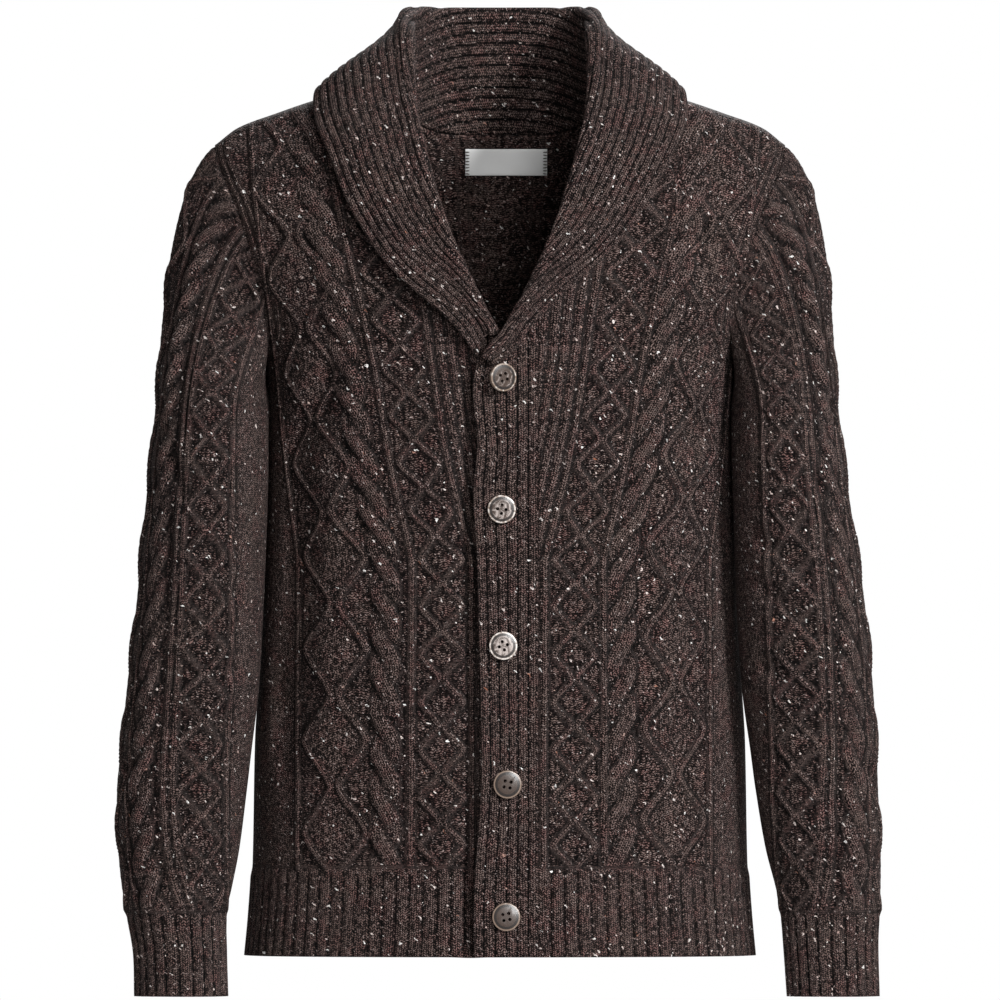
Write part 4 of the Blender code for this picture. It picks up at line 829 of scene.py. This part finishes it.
# %% The armhole that the cap is sewn to
def armhole_half(face, side, count):
    """Evenly spaced flat places from the shoulder tip down to the underarm."""
    tip = ARMHOLE["height"][-1]
    z = tip + (UNDERARM - tip) * (1 - np.cos(np.linspace(0, math.pi, 161))) / 2
    flat = side * armhole_flat(z)
    points = on_body(face)(flat, z)
    run = run_along(points)
    at = np.linspace(0, run[-1], count + 1)
    flat, z = np.interp(at, run, flat), np.interp(at, run, z)
    z[0] = shoulder_height(SHOULDER_TIP)
    flat[-1], z[-1] = side * SIDE, UNDERARM
    return flat, z


def armhole_ring(side, count=48):
    """Round the armhole: the seam, the body's normal and the way out of the body."""
    halves = []
    for face in (FRONT, BACK):
        flat, z = armhole_half(face, side, count)
        seam = body_sheet(face, flat, z, 0.0 * z)
        normal = unit(body_sheet(face, flat, z, 0.0 * z + 1.0) - seam)
        along = np.empty_like(seam)
        along[1:-1] = seam[2:] - seam[:-2]
        along[0], along[-1] = (0, face, 0), (0, -face, 0)
        away = towards(unit(np.cross(unit(along), normal)), np.array((side, 0, 0.25)))
        halves.append((seam, normal, away))
    for k in (0, -1):
        halves[0][0][k, 1] = 0.0
    return [np.concatenate((a, b[::-1][1:-1])) for a, b in zip(*halves)]


def around(ring, turn):
    """A value on a closed ring, at these turns."""
    count = len(ring)
    at = (turn % 1.0) * count
    i = at.astype(int) % count
    t = (at - np.floor(at))[..., None]
    return ring[i] * (1 - t) + ring[(i + 1) % count] * t


# %% Knit the sleeves
def sleeve_grid(side, columns, lower, upper):
    turn = np.linspace(-0.5, 0.5, columns)
    z = np.linspace(SLEEVE_END, SLEEVE_RING, lower)[:, None] + 0 * turn[None, :]
    turns = turn[None, :] + 0 * z
    tube = sleeve_ring(side, turns, z)
    lift = (1 + np.cos(2 * math.pi * turn)) / 2
    reach = UNDERARM_LENGTH + (SLEEVE_CAP_LENGTH - UNDERARM_LENGTH) * lift ** 0.8
    seam, normal, away = armhole_ring(side)
    seam, normal, away = around(seam, turn), unit(around(normal, turn)), unit(around(away, turn))
    # the cap leaves the armhole outwards at the top, and downwards under the arm
    way_out = unit(away * (0.6 * lift)[:, None] + np.stack(
        (side * (0.77 * lift - 0.12), 0 * lift, 0.45 * lift - 0.95), -1))
    high = seam + unit(normal * 0.5 + away) * SEAM_GAP * 1.2
    low = tube[-1]
    low_way = (low - sleeve_ring(side, turn, SLEEVE_RING - 8 + 0 * turn)) / 8
    pull = np.linalg.norm(high - low, axis=1)[:, None]
    leave = low_way * pull * (CAP_PULL - 0.30 * lift)[:, None]
    arrive = -way_out * pull * (CAP_PULL - 0.36 * lift)[:, None]
    t = np.linspace(0, 1, upper + 1)[1:, None, None]
    cap = bend(low[None], leave[None], high[None], arrive[None], t)
    surface = np.concatenate((tube, cap))
    distance = np.concatenate((z - SLEEVE_END, (SLEEVE_RING - SLEEVE_END)
                               + t[..., 0] * reach[None, :]))
    across = np.concatenate((turns * girth(side, z),
                             turn[None, :] * float(girth(side, SLEEVE_RING)) + 0 * t[..., 0]))
    return surface, across, distance


def grid_facing(surface, closed):
    """The way each point of a grid of places faces."""
    if closed:
        ring = np.concatenate((surface[:, -2:-1], surface, surface[:, 1:2]), axis=1)
        across = ring[:, 2:] - ring[:, :-2]
    else:
        across = np.gradient(surface, axis=1)
    return unit(np.cross(across, np.gradient(surface, axis=0)))


def sleeve(name, side, columns=144, lower=162, upper=76):
    surface, across, along = sleeve_grid(side, columns, lower, upper)
    way = grid_facing(surface, True) * -side
    cloth = ground(across, along)
    low = CUFF_LENGTH + 4
    diamond(cloth, across, along, low + 30, half=24.0)
    for way_round in (-1, 1):
        rope(cloth, across - way_round * SLEEVE_MOTIFS["rope"], along, low, way_round)
        lattice(cloth, across - way_round * SLEEVE_MOTIFS["lattice"], along, low)
        for offset in SLEEVE_RIBS:
            rib(cloth, across - way_round * offset, along)
    cloth["purl"] = np.where(np.abs(across) > SLEEVE_MOTIFS["edge"] + 3.0, 0.0, cloth["purl"])
    below_cap = along.max(axis=0)[None, :] - along
    fade(cloth, ease(low - 8, low + 2, along) * ease(0.0, 4.0, below_cap))
    width = 2 * round(float(girth(side, SLEEVE_END)) / CUFF_RIB_PITCH / 2) * CUFF_RIB_PITCH
    turns = np.linspace(0, 1, columns)[None, :] + 0 * along
    deep_rib(cloth, turns * width, width, CUFF_RIB_PITCH, along, CUFF_LENGTH)
    to_seam = girth(side, np.minimum(SLEEVE_END + along, SLEEVE_RING)) / 2 - np.abs(across)
    fade(cloth, np.where(along > CUFF_LENGTH, ease(0, 3, to_seam), 1))
    outer = surface + way * cloth["rise"][..., None]
    inner = surface - way * WALL
    for grid in (outer, inner):
        grid[:, -1] = grid[:, 0]
    return knitted(name, outer, inner, cloth, tube=True)


right_sleeve = sleeve("right_sleeve", -1)
left_sleeve = sleeve("left_sleeve", 1)

# %% [markdown]
# ## Shawl collar
# Across the collar, from its free edge, come the fall, which lies on the shoulders, the
# fold, which rolls over a small radius, and the stand, which goes down to the seam. The
# ribs run along its whole length and roll over the fold with it.

# %% The collar's lines
COLLAR_WALL = 2.2
COLLAR_ENDS = {-1: LAST_STATION, 1: 433.0}
RIB_PITCH = table("at pitch", (0, 8.8), (70, 8.8), (131, 8.3), (200, 7.4), (260, 6.6), (330, 6.0),
                  (410, 5.6))
LAPEL_SHIFT = {-1: 0.0, 1: 2.0}
FALL_STEPS, ROLL_STEPS, STAND_STEPS = 60, 25, 17
FALL_PULL = 0.8                     # how far the fall runs on before it bends


def collar_stations(side):
    """The under lapel falls wider; the upper one runs on along the over band's edge."""
    rows = {name: values.copy() for name, values in STATIONS.items()}
    if side < 0:        # how much further out, and where its free edge lies instead
        rows["stand_off"][7:] += (1, 2, 3, 4, 4.5, 5, 5, 5, 4.5, 3.5, 2.5)
        rows["edge_x"][-7:] = (122, 104, 86, 65, 47, 31, 17)
        rows["edge_z"][-7:] = (-68, -101, -125, -145, -160, -177, -196)
        rows["stand_off"][-9:] += 2.2
        return rows
    for row in ((420, FRONT, 2, -184, -7, -132, -185.5, 4, -195, 3.8, 3.4, 0.7),
                (434, FRONT, -6, -193, -14, -132.5, -196, -7, -202, 3.2, 2.6, 0.4)):
        for name, value in zip(rows, row):
            rows[name] = np.append(rows[name], value)
    return rows


def collar_lines(side):
    """Seam, fold and edge at the stations of one half, as a table of curves."""
    rows = collar_stations(side)
    at = rows["at"]
    shift = LAPEL_SHIFT[side] * ease(131, 200, at) * (1 - ease(370, 406, at))
    lift = OVERLAP_LIFT * ease(226, 370, at) if side > 0 else 0.0
    points = {"fold": np.stack((side * (rows["fold_x"] + shift), rows["fold_y"] - lift,
                                rows["fold_z"]), -1)}
    for name, x, z, off in (("seam", rows["seam_x"], rows["seam_z"], 0.0 * at),
                            ("over_seam", rows["seam_x"], rows["seam_z"], 0.0 * at + 1.0),
                            ("edge", rows["edge_x"] + shift, rows["edge_z"],
                             rows["stand_off"])):
        z = np.minimum(z, shoulder_height(x))
        flat = flat_of(side * x, z)
        points[name] = np.concatenate([
            body_sheet(face, flat[here], z[here], off[here], side > 0 and face == FRONT)
            for face, here in ((face, rows["face"] == face) for face in (BACK, FRONT))])
    lines = {name: rows[name] for name in ("at", "turn", "bulge")}
    for name, places in points.items():
        for k, axis in enumerate("xyz"):
            lines[name + axis] = places[:, k]
    return lines


def collar_sections(side, at):
    """Sections across the collar, each from its free edge to its seam."""
    lines = collar_lines(side)

    def point(name, where):
        return np.stack([read(lines, name + axis, where) for axis in "xyz"], -1)[:, None]

    seam, over_seam, fold, edge = (point(name, at)
                                   for name in ("seam", "over_seam", "fold", "edge"))
    turn, bulge = (read(lines, name, at)[:, None, None] for name in ("turn", "bulge"))
    up = unit(fold - seam)
    axis = unit(point("fold", at + 1) - point("fold", at - 1))
    wide = towards(unit(np.cross(axis, up)), edge - seam)
    start = (seam + unit(up + unit(over_seam - seam) * 0.3) * SEAM_GAP * 1.3
             - wide * COLLAR_WALL)
    crest = turn / np.maximum(np.sqrt(1 - dot(axis, up) ** 2), 0.5)
    stand = dot(fold - start, up) - crest
    fall_start = start + up * stand + wide * 2 * turn
    chord = np.linalg.norm(fall_start - edge, axis=-1, keepdims=True)
    way = (fall_start - edge) / chord
    aside = towards(unit(np.cross(way, axis)), wide)
    t = np.linspace(0, 1, FALL_STEPS, endpoint=False)[:, None]
    fall = (bend(edge, way * chord * FALL_PULL, fall_start, up * chord * FALL_PULL, t)
            + aside * bulge * np.sin(math.pi * t))
    angle = math.pi * (0.5 - np.linspace(0, 1, ROLL_STEPS)[:, None])
    roll = (start + up * (stand + crest * np.cos(angle))
            + wide * (turn + turn * np.sin(angle)))
    down = np.linspace(1, 0, STAND_STEPS)[1:, None]
    return np.concatenate((fall, roll, start + up * stand * down), axis=1)


# %% Knit the collar
def collar(name, rows=108, spacing=2.2):
    right, left = (np.linspace(0, COLLAR_ENDS[side], round(COLLAR_ENDS[side] / spacing) + 1)
                   for side in (-1, 1))
    sections = np.concatenate((collar_sections(-1, right)[::-1], collar_sections(1, left)[1:]))
    along = np.concatenate((-right[::-1], left[1:]))
    across = np.linspace(0, 1, rows)
    surface = np.empty((rows, len(along), 3))
    width = np.empty(len(along))
    for i, points in enumerate(sections):
        run = run_along(points)
        width[i] = run[-1]
        for k in range(3):
            surface[:, i, k] = np.interp(across * run[-1], run, points[:, k])
    way = grid_facing(surface, False) * -1
    reach = across[:, None] * width[None, :]
    pitch = read(RIB_PITCH, "pitch", np.abs(along))[None, :]
    cloth = flat_rib(reach, pitch, along[None, :], 2.3)
    fade(cloth, ease(0, 2, width[None, :] - reach))
    piece = knitted(name, surface + way * cloth["rise"][..., None],
                    surface - way * COLLAR_WALL, cloth)
    return piece, float(width.mean())


shawl, collar_width = collar("shawl")
print("the collar is", round(collar_width), "mm wide on average")

# %% [markdown]
# ## Shader arithmetic
# A finish is a sum and product of patterns. A small class wraps a socket and gives it the
# usual operators, so a pattern reads as a formula and each operator adds its Math node.

# %% Sockets that can be added and multiplied
def operation(kind, swapped=False):
    """A method that adds one Math node; a swapped one takes its own value last."""
    def apply(self, *others):
        values = [self, *others]
        return self.finish.node("ShaderNodeMath", {"operation": kind},
                                values[::-1] if swapped else values)
    return apply


class Value:
    """A number, vector or colour that varies over a surface."""

    def __init__(self, finish, socket):
        self.finish, self.socket = finish, socket

    __add__ = __radd__ = operation("ADD")
    __mul__ = __rmul__ = operation("MULTIPLY")
    __sub__, __rsub__ = operation("SUBTRACT"), operation("SUBTRACT", swapped=True)
    __pow__, above = operation("POWER"), operation("GREATER_THAN")
    part, whole, size = operation("FRACT"), operation("FLOOR"), operation("ABSOLUTE")
    least, most = operation("MINIMUM"), operation("MAXIMUM")
    sine, cosine = operation("SINE"), operation("COSINE")

    def between(self, low, high):
        """Rises softly from 0 at low to 1 at high."""
        return self.finish.node("ShaderNodeMapRange", {"interpolation_type": "SMOOTHSTEP"},
                                {"Value": self, "From Min": low, "From Max": high})

    def output(self, key):
        """Another output of the node that this value comes from."""
        return Value(self.finish, self.socket.node.outputs[key])


class Finish:
    """A material whose Principled shader takes patterns by name."""

    def __init__(self, name):
        self.material = bpy.data.materials.new(name)
        self.material.use_nodes = True
        self.tree = self.material.node_tree
        self.shader = self.tree.nodes["Principled BSDF"]

    def fill(self, socket, value):
        if isinstance(value, Value):
            self.tree.links.new(value.socket, socket)
        else:
            socket.default_value = value

    def node(self, kind, settings, values, output=0):
        """Adds a node: its settings first, then the values or links of its sockets."""
        made = self.tree.nodes.new(kind)
        for key, setting in settings.items():
            if key != "stops":
                setattr(made, key, setting)
        for i, (place, shade) in enumerate(settings.get("stops", ())):
            elements = made.color_ramp.elements
            stop = elements[i] if i < 2 else elements.new(place)
            stop.position, stop.color = place, (*shade, 1.0)
        for key, value in enumerate(values) if isinstance(values, list) else values.items():
            self.fill(made.inputs[key], value)
        return Value(self, made.outputs[output])

    def set(self, **sockets):
        for name, value in sockets.items():
            self.fill(self.shader.inputs[name.replace("_", " ")], value)

    def bump(self, strength, distance, height):
        self.set(Normal=self.node("ShaderNodeBump", {}, {
            "Strength": strength, "Distance": distance, "Height": height}))

    def place(self):
        return self.node("ShaderNodeTexCoord", {}, {}, 3)

    def uv(self, name):
        return self.node("ShaderNodeUVMap", {"uv_map": name}, {})

    def attribute(self, name):
        return self.node("ShaderNodeAttribute", {"attribute_name": name}, {}, 2)

    def parts(self, vector):
        """The first two numbers of a vector or a colour."""
        first = self.node("ShaderNodeSeparateXYZ", {}, [vector])
        return first, first.output(1)

    def noise(self, scale, detail, where, output=0, rough=0.5, distort=0.0):
        return self.node("ShaderNodeTexNoise", {}, {
            "Vector": where, "Scale": scale, "Detail": detail, "Roughness": rough,
            "Distortion": distort}, output)

    def mix(self, share, a, b, blend="MIX"):
        a, b = ((*c, 1.0) if isinstance(c, tuple) else c for c in (a, b))
        return self.node("ShaderNodeMix", {"data_type": "RGBA", "blend_type": blend},
                         {0: share, 6: a, 7: b}, 2)

    def ramp(self, value, stops):
        """Colours along a value; the first two stops are the lowest and the highest."""
        return self.node("ShaderNodeValToRGB", {"stops": stops}, [value])


# %% [markdown]
# ## Flecked wool
# Donegal-style yarn is spun from dark fibres with small undyed and dyed slubs in it. Seen
# close, each leg of a stitch is a slightly different brown, with fine pale hairs, and
# every centimetre or two there is a white, pink or rust fleck. A knit stitch is a V whose
# two legs rise outwards, and a purl stitch is a low bump that runs across.
# The colour is also painted darker where the stitches and the relief are low, as shade, and lighter
# on the ridges, as light.

# %% The knit finish
YARN_TONES = ((0.10, (0.0018, 0.0011, 0.0010)), (1.00, (0.404, 0.278, 0.252)),
              (0.42, (0.0162, 0.0092, 0.0084)), (0.58, (0.0525, 0.0333, 0.0306)),
              (0.76, (0.1515, 0.0963, 0.0870)))
SLUB_TONES = ((0.00, (0.78, 0.73, 0.70)), (1.00, (0.95, 0.93, 0.91)),
              (0.60, (0.72, 0.60, 0.56)), (0.72, (0.30, 0.11, 0.06)),
              (0.78, (0.90, 0.87, 0.84)))
ASKEW = (0.6, 0.8, 0.35)            # turns the patterns away from the axes


# tone scales the yarn's colours; groove sets how dark the shade painted into the relief's grooves
# is.
def wool_finish(name, tone, groove=0.33):
    wool = Finish(name)
    askew = wool.node("ShaderNodeMapping", {}, {"Vector": wool.place(), "Rotation": ASKEW})
    drift = wool.noise(260.0, 1.0, askew) - 0.5
    sway = wool.noise(42.0, 1.0, askew) - 0.5
    hair = wool.noise(820.0, 2.0, askew, rough=0.65)
    patch = wool.noise(24.0, 3.0, askew)
    purl, relief_shade_and_light = wool.attribute("purl"), wool.attribute("relief_shade_and_light")
    wale, course = wool.parts(wool.uv("stitches"))
    wale = wale + drift * 0.4 + sway * 0.6
    course = course * 1.5 + drift * 0.7 + sway * 5.0

    out = (wale.part() - 0.5).size() * 2
    leg = course - out * 0.9
    across_leg = 1 - ((leg.part() * 2 - 1) ** 2)
    along_leg = 1 - ((out * 2 - 1) ** 4)
    knit_height = across_leg * along_leg
    wave = (wale * (2 * math.pi)).cosine()
    bump_row = (course + wave * 0.2).part() * 2 - 1
    purl_height = (1 - bump_row ** 2) * (wave * 0.12 + 0.82) + 0.08
    is_purl = purl.above(0.5)
    height = knit_height + (purl_height - knit_height) * is_purl

    cell = wool.node("ShaderNodeCombineXYZ", {}, [(wale * 2).whole(), leg.whole()])
    own = wool.node("ShaderNodeTexWhiteNoise", {"noise_dimensions": "2D"}, {"Vector": cell})
    # Painted shade and light: the colour is darker where a stitch leg or purl bump is low and in
    # the relief's grooves, and lighter on its ridges. own, hair and patch are the yarn's own tones.
    shade = ((own - 0.5) * 0.70 + (hair - 0.5) * 1.8
             + (height - 0.45) * (1.25 - is_purl * 0.30)
             + relief_shade_and_light.least(0.0) * groove + relief_shade_and_light.most(0.0) * 0.10
             + (patch - 0.5) * 0.25 + 0.34)
    yarn = wool.ramp(shade, [(at, tuple(tone * part for part in colour))
                             for at, colour in YARN_TONES])
    dye = wool.noise(75.0, 4.0, askew).between(0.44, 0.70) * 0.65
    yarn = wool.mix(dye, yarn, wool.mix(1.0, yarn, (1.18, 0.84, 0.86), "MULTIPLY"))
    grey = patch.between(0.35, 0.7)
    yarn = wool.mix(grey * 0.5, yarn, wool.mix(1.0, yarn, (0.90, 0.98, 0.92), "MULTIPLY"))

    bent = wool.node("ShaderNodeVectorMath", {"operation": "MULTIPLY_ADD"},
                     [wool.noise(330.0, 1.0, askew, 1), (0.0045, 0.0045, 0.0045), askew])
    long = wool.node("ShaderNodeVectorMath", {"operation": "MULTIPLY"}, [bent, (1.3, 1.3, 0.5)])

    def slubs(scale, radius, share):
        """Short tufts of another fibre: where they lie, and a number of their own."""
        tuft = wool.node("ShaderNodeTexVoronoi", {}, {"Vector": long, "Scale": scale})
        pick, hue = wool.parts(tuft.output(1))
        return (1 - tuft.between(radius * 0.7, radius)) * pick.above(1 - share), hue

    fleck, hue = slubs(150.0, 0.16, 0.62)
    speck, _ = slubs(420.0, 0.24, 0.55)
    colour = wool.mix(speck * 0.6, yarn, (0.48, 0.38, 0.36))
    colour = wool.mix(fleck * 0.92, colour, wool.ramp(hue, SLUB_TONES))
    wool.set(Base_Color=colour, Roughness=hair * 0.12 + 0.80, Specular_IOR_Level=0.07,
             Sheen_Weight=0.04, Sheen_Roughness=0.45, Sheen_Tint=(0.85, 0.72, 0.70, 1.0))
    wool.bump(1.0, 0.0012, height * 0.9 + hair * 0.5 + fleck * 0.3)
    return wool.material


# Three copies of one wool: the left front's is painted a little lighter, for the light that falls
# on it, and the one for the bands and collar is painted a little lighter too, with deeper painted
# shade in its grooves.
wool = wool_finish("flecked_wool", 0.355)
wool_left_painted_lighter = wool_finish("flecked_wool_left_painted_lighter", 0.37)
wool_rib_painted_light_and_shade = wool_finish("flecked_wool_rib_painted_light_and_shade", 0.37, 0.50)

# %% [markdown]
# ## Sewing the cloth on
# Each piece rides with the body, stands in for its imported solid, which it hides, and takes
# its finish.

def sew_on(piece, node, finish):
    piece.data.materials.append(finish)
    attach(piece, "root")
    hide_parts(node)


sew_on(right_front, "front_right", wool)
sew_on(left_front, "front_left", wool_left_painted_lighter)
sew_on(back_panel, "back", wool)
sew_on(right_sleeve, "sleeve_right", wool)
sew_on(left_sleeve, "sleeve_left", wool)
sew_on(under_band, "button_band", wool_rib_painted_light_and_shade)
sew_on(over_band, "buttonhole_band", wool_rib_painted_light_and_shade)
sew_on(shawl, "shawl_collar", wool_rib_painted_light_and_shade)

# %% [markdown]
# ## Buttons
# Each is turned from a marbled horn-like blank: a rounded rim, painted pale as a highlight,
# a groove inside it, painted dark as shade, and a shallow dish with four holes. A short
# cylinder is inset and pushed down ring by ring, its rims are bevelled, and the holes are cut
# through with a Boolean.

# %% Turn one button
BUTTON_RADIUS = 11.2
HOLE_RADIUS, HOLES_OUT = 1.3, 3.4
DIAL_RINGS = ((1.0, 0.3), (0.35, 0.0), (0.6, -1.5), (0.8, 0.0), (0.6, 0.7), (3.0, -0.3))


def pick_faces(mesh, up):
    """Selects, in edit mode, only the faces that look up (1) or down (-1)."""
    shape = bmesh.from_edit_mesh(mesh)
    for face in shape.faces:
        face.select_set(face.normal.z * up > 0.9)
    shape.select_flush_mode()
    bmesh.update_edit_mesh(mesh)


def turned_button():
    deselect()
    bpy.ops.mesh.primitive_cylinder_add(vertices=64, radius=BUTTON_RADIUS * MM, depth=3.4 * MM,
                                        location=(0, 0, 1.7 * MM))
    button = bpy.context.object
    bpy.ops.object.transform_apply(location=True, rotation=True, scale=True)
    bpy.ops.object.mode_set(mode="EDIT")
    pick_faces(button.data, 1)
    for inset, drop in DIAL_RINGS:
        bpy.ops.mesh.inset(thickness=inset * MM, depth=0)
        bpy.ops.transform.translate(value=(0, 0, drop * MM))
    pick_faces(button.data, -1)
    bpy.ops.mesh.inset(thickness=1.6 * MM, depth=0)
    bpy.ops.object.mode_set(mode="OBJECT")
    rounding = button.modifiers.new("rounding", "BEVEL")
    rounding.width, rounding.segments = 0.45 * MM, 3
    rounding.limit_method, rounding.angle_limit = "ANGLE", math.radians(28)
    bpy.ops.object.modifier_apply(modifier=rounding.name)
    for i in range(4):
        turn = math.pi / 2 * (i + 0.5)
        deselect()
        bpy.ops.mesh.primitive_cylinder_add(
            vertices=20, radius=HOLE_RADIUS * MM, depth=12 * MM,
            location=(HOLES_OUT * MM * math.cos(turn), HOLES_OUT * MM * math.sin(turn), 0))
        drill = bpy.context.object
        deselect()
        button.select_set(True)
        bpy.context.view_layer.objects.active = button
        cut = button.modifiers.new("hole", "BOOLEAN")
        cut.object, cut.solver = drill, "EXACT"
        bpy.ops.object.modifier_apply(modifier=cut.name)
        bpy.data.objects.remove(drill)
    bpy.ops.object.shade_smooth_by_angle(angle=math.radians(38))
    return button


# %% [markdown]
# ## Horn
# The blanks are cut so that paler and browner layers swirl through each button. The rim is
# painted paler, as a highlight, and the groove inside it darkest, as painted shade.

# %% The horn finish
def horn_finish(name, brown):
    horn = Finish(name)
    dial = horn.uv("dial")
    radius = horn.node("ShaderNodeVectorMath", {"operation": "LENGTH"}, [dial], 1)
    swirl = horn.noise(1.5, 3.0, dial, distort=2.2)
    fine = horn.noise(9.0, 3.0, dial, distort=0.8)
    mood = swirl * 0.75 + fine * 0.25
    dish = horn.mix(mood.between(0.36 + brown, 0.62 + brown),
                    (0.044, 0.028, 0.021), (0.40, 0.345, 0.32))
    # The rim keeps the marbling but is painted paler than the dish, as a highlight.
    edge = horn.mix(mood.between(0.34 + brown, 0.60 + brown),
                    (0.17, 0.12, 0.09), (0.62, 0.57, 0.53))
    base = horn.mix(radius.between(0.87, 0.91), dish, edge)
    # The groove ring inside the rim is painted nearly black, as shade.
    groove = radius.between(0.67, 0.73) * (1 - radius.between(0.86, 0.90))
    base = horn.mix(groove * 0.9, base, (0.012, 0.009, 0.008))
    horn.set(Base_Color=base, Roughness=fine * 0.14 + 0.22, Specular_IOR_Level=0.5,
             Coat_Weight=0.25, Coat_Roughness=0.12)
    horn.bump(0.15, 0.0002, fine)
    return horn.material


BUTTONS = table(
    "number across height yaw brown", (1, 1.6, -210.4, 26, .12), (2, 1.4, -315.2, 0, .03),
    (3, 2.6, -424.0, 0, -.02), (4, 6.0, -534.4, 0, .22), (5, 5.0, -640.0, 0, .22))

# %% Sew the buttons on
def on_cloth(face, x, z, rise, lifted=False):
    """A place this high above the body's face, and the way the face looks there."""
    seat, raised = (body_sheet(face, np.array([float(flat_of(x, z))]), np.array([z]),
                               np.array([r]), lifted)[0] for r in (rise, rise + 1.0))
    return Vector(seat) * MM, Vector(raised - seat).normalized()


def set_down(place, way, spin):
    """Carries a shape to its place, facing its way and turned about it."""
    return (Matrix.Translation(place) @ way.to_track_quat("Z", "Y").to_matrix().to_4x4()
            @ Matrix.Rotation(spin, 4, "Z"))


thread = Finish("dark_thread")
twist = thread.node("ShaderNodeTexWave", {"wave_type": "BANDS", "bands_direction": "DIAGONAL"},
                    {"Vector": thread.place(), "Scale": 900.0})
thread.set(Base_Color=thread.mix(twist, (0.02, 0.015, 0.014), (0.07, 0.055, 0.05)),
           Roughness=0.7)
thread.bump(0.5, 0.0002, twist)

pattern = turned_button()
dial = pattern.data.uv_layers[0]
dial.name = "dial"
for corner in pattern.data.loops:
    at = pattern.data.vertices[corner.vertex_index].co / (BUTTON_RADIUS * MM)
    dial.uv[corner.index].vector = at.xy
for number, across, height, yaw, brown in zip(*BUTTONS.values()):
    yaw = math.radians(yaw)
    stand = 2.0 + abs(math.sin(yaw)) * BUTTON_RADIUS * 0.86     # its edge clears the ribs
    seat, way = on_cloth(FRONT, across, height, stand, True)
    way = Matrix.Rotation(yaw, 3, "Z") @ way
    button = pattern.copy()
    button.data = pattern.data.copy()
    button.name = f"horn_button_{int(number)}"
    bpy.context.scene.collection.objects.link(button)
    button.data.transform(set_down(seat, way, 0.35 * number))
    button.data.materials.append(horn_finish(f"horn_{int(number)}", brown))
    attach(button, "root")
    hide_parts(f"button_{int(number)}")
bpy.data.objects.remove(pattern)
print("buttons:", len(BUTTONS["number"]))

# %% [markdown]
# ## Neck tape
# A short woven tape is sewn inside the back, just under the collar seam. It is bare. A
# row of dark stitches holds each of its short ends.

# %% Weave the tape
LABEL_LEFT, LABEL_RIGHT, LABEL_BOTTOM, LABEL_TOP = -28.0, 38.0, -46.0, -24.5


def neck_tape(name, columns=67, rows=23):
    x, z = np.meshgrid(np.linspace(LABEL_LEFT, LABEL_RIGHT, columns),
                       np.linspace(LABEL_BOTTOM, LABEL_TOP, rows))
    flat = flat_of(x, z)
    edge = np.minimum(np.minimum(x - LABEL_LEFT, LABEL_RIGHT - x),
                      np.minimum(z - LABEL_BOTTOM, LABEL_TOP - z))
    swell = 0.35 * ease(0, 3, edge) + 0.15 * np.sin(x * 0.21) * np.sin(z * 0.33)
    depth = -WALL - SEAM_GAP - 0.9 - swell
    cloth = {"rise": 0 * x, "purl": 0 * x, "wale": x, "course": z}
    return knitted(name, body_sheet(BACK, flat, z, depth),
                   body_sheet(BACK, flat, z, np.full_like(flat, -WALL - SEAM_GAP - 0.3)), cloth)


tape = neck_tape("neck_tape")
satin = Finish("woven_tape")
warp, weft = satin.parts(satin.uv("stitches"))
weave = (warp * 9.0).sine() * (weft * 14.0).sine() * 0.5 + 0.5
slip = satin.noise(90.0, 2.0, satin.place())
satin.set(Base_Color=satin.mix(weave * 0.5 + slip * 0.3, (0.90, 0.90, 0.89), (0.98, 0.98, 0.97)),
          Roughness=slip * 0.2 + 0.38, Sheen_Weight=0.1)
satin.bump(0.35, 0.0002, weave)
sew_on(tape, "neck_label", satin.material)

# %% Sew it down at its ends
STITCHES = 8                        # at each end


def tape_stitches(name):
    """Small overhand stitches along both short ends, as one mesh of flat beads."""
    deselect()
    bpy.ops.mesh.primitive_uv_sphere_add(segments=10, ring_count=6, radius=1.0)
    stitch = bpy.context.object
    copies = bmesh.new()
    for x in (LABEL_LEFT + 1.6, LABEL_RIGHT - 1.6):
        for k, z in enumerate(np.linspace(LABEL_BOTTOM + 1.8, LABEL_TOP - 1.8, STITCHES)):
            place, way = on_cloth(BACK, x, z, -5.0)
            own = stitch.data.copy()
            own.transform(set_down(place, -way, 0.15 * (k % 3 - 1))
                          @ Matrix.Diagonal((0.0019, 0.00042, 0.00042, 1.0)))
            copies.from_mesh(own)
            bpy.data.meshes.remove(own)
    copies.to_mesh(stitch.data)
    copies.free()
    stitch.name = name
    bpy.ops.object.shade_smooth()
    stitch.data.materials.append(thread.material)
    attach(stitch, "root")


tape_stitches("tape_stitches")
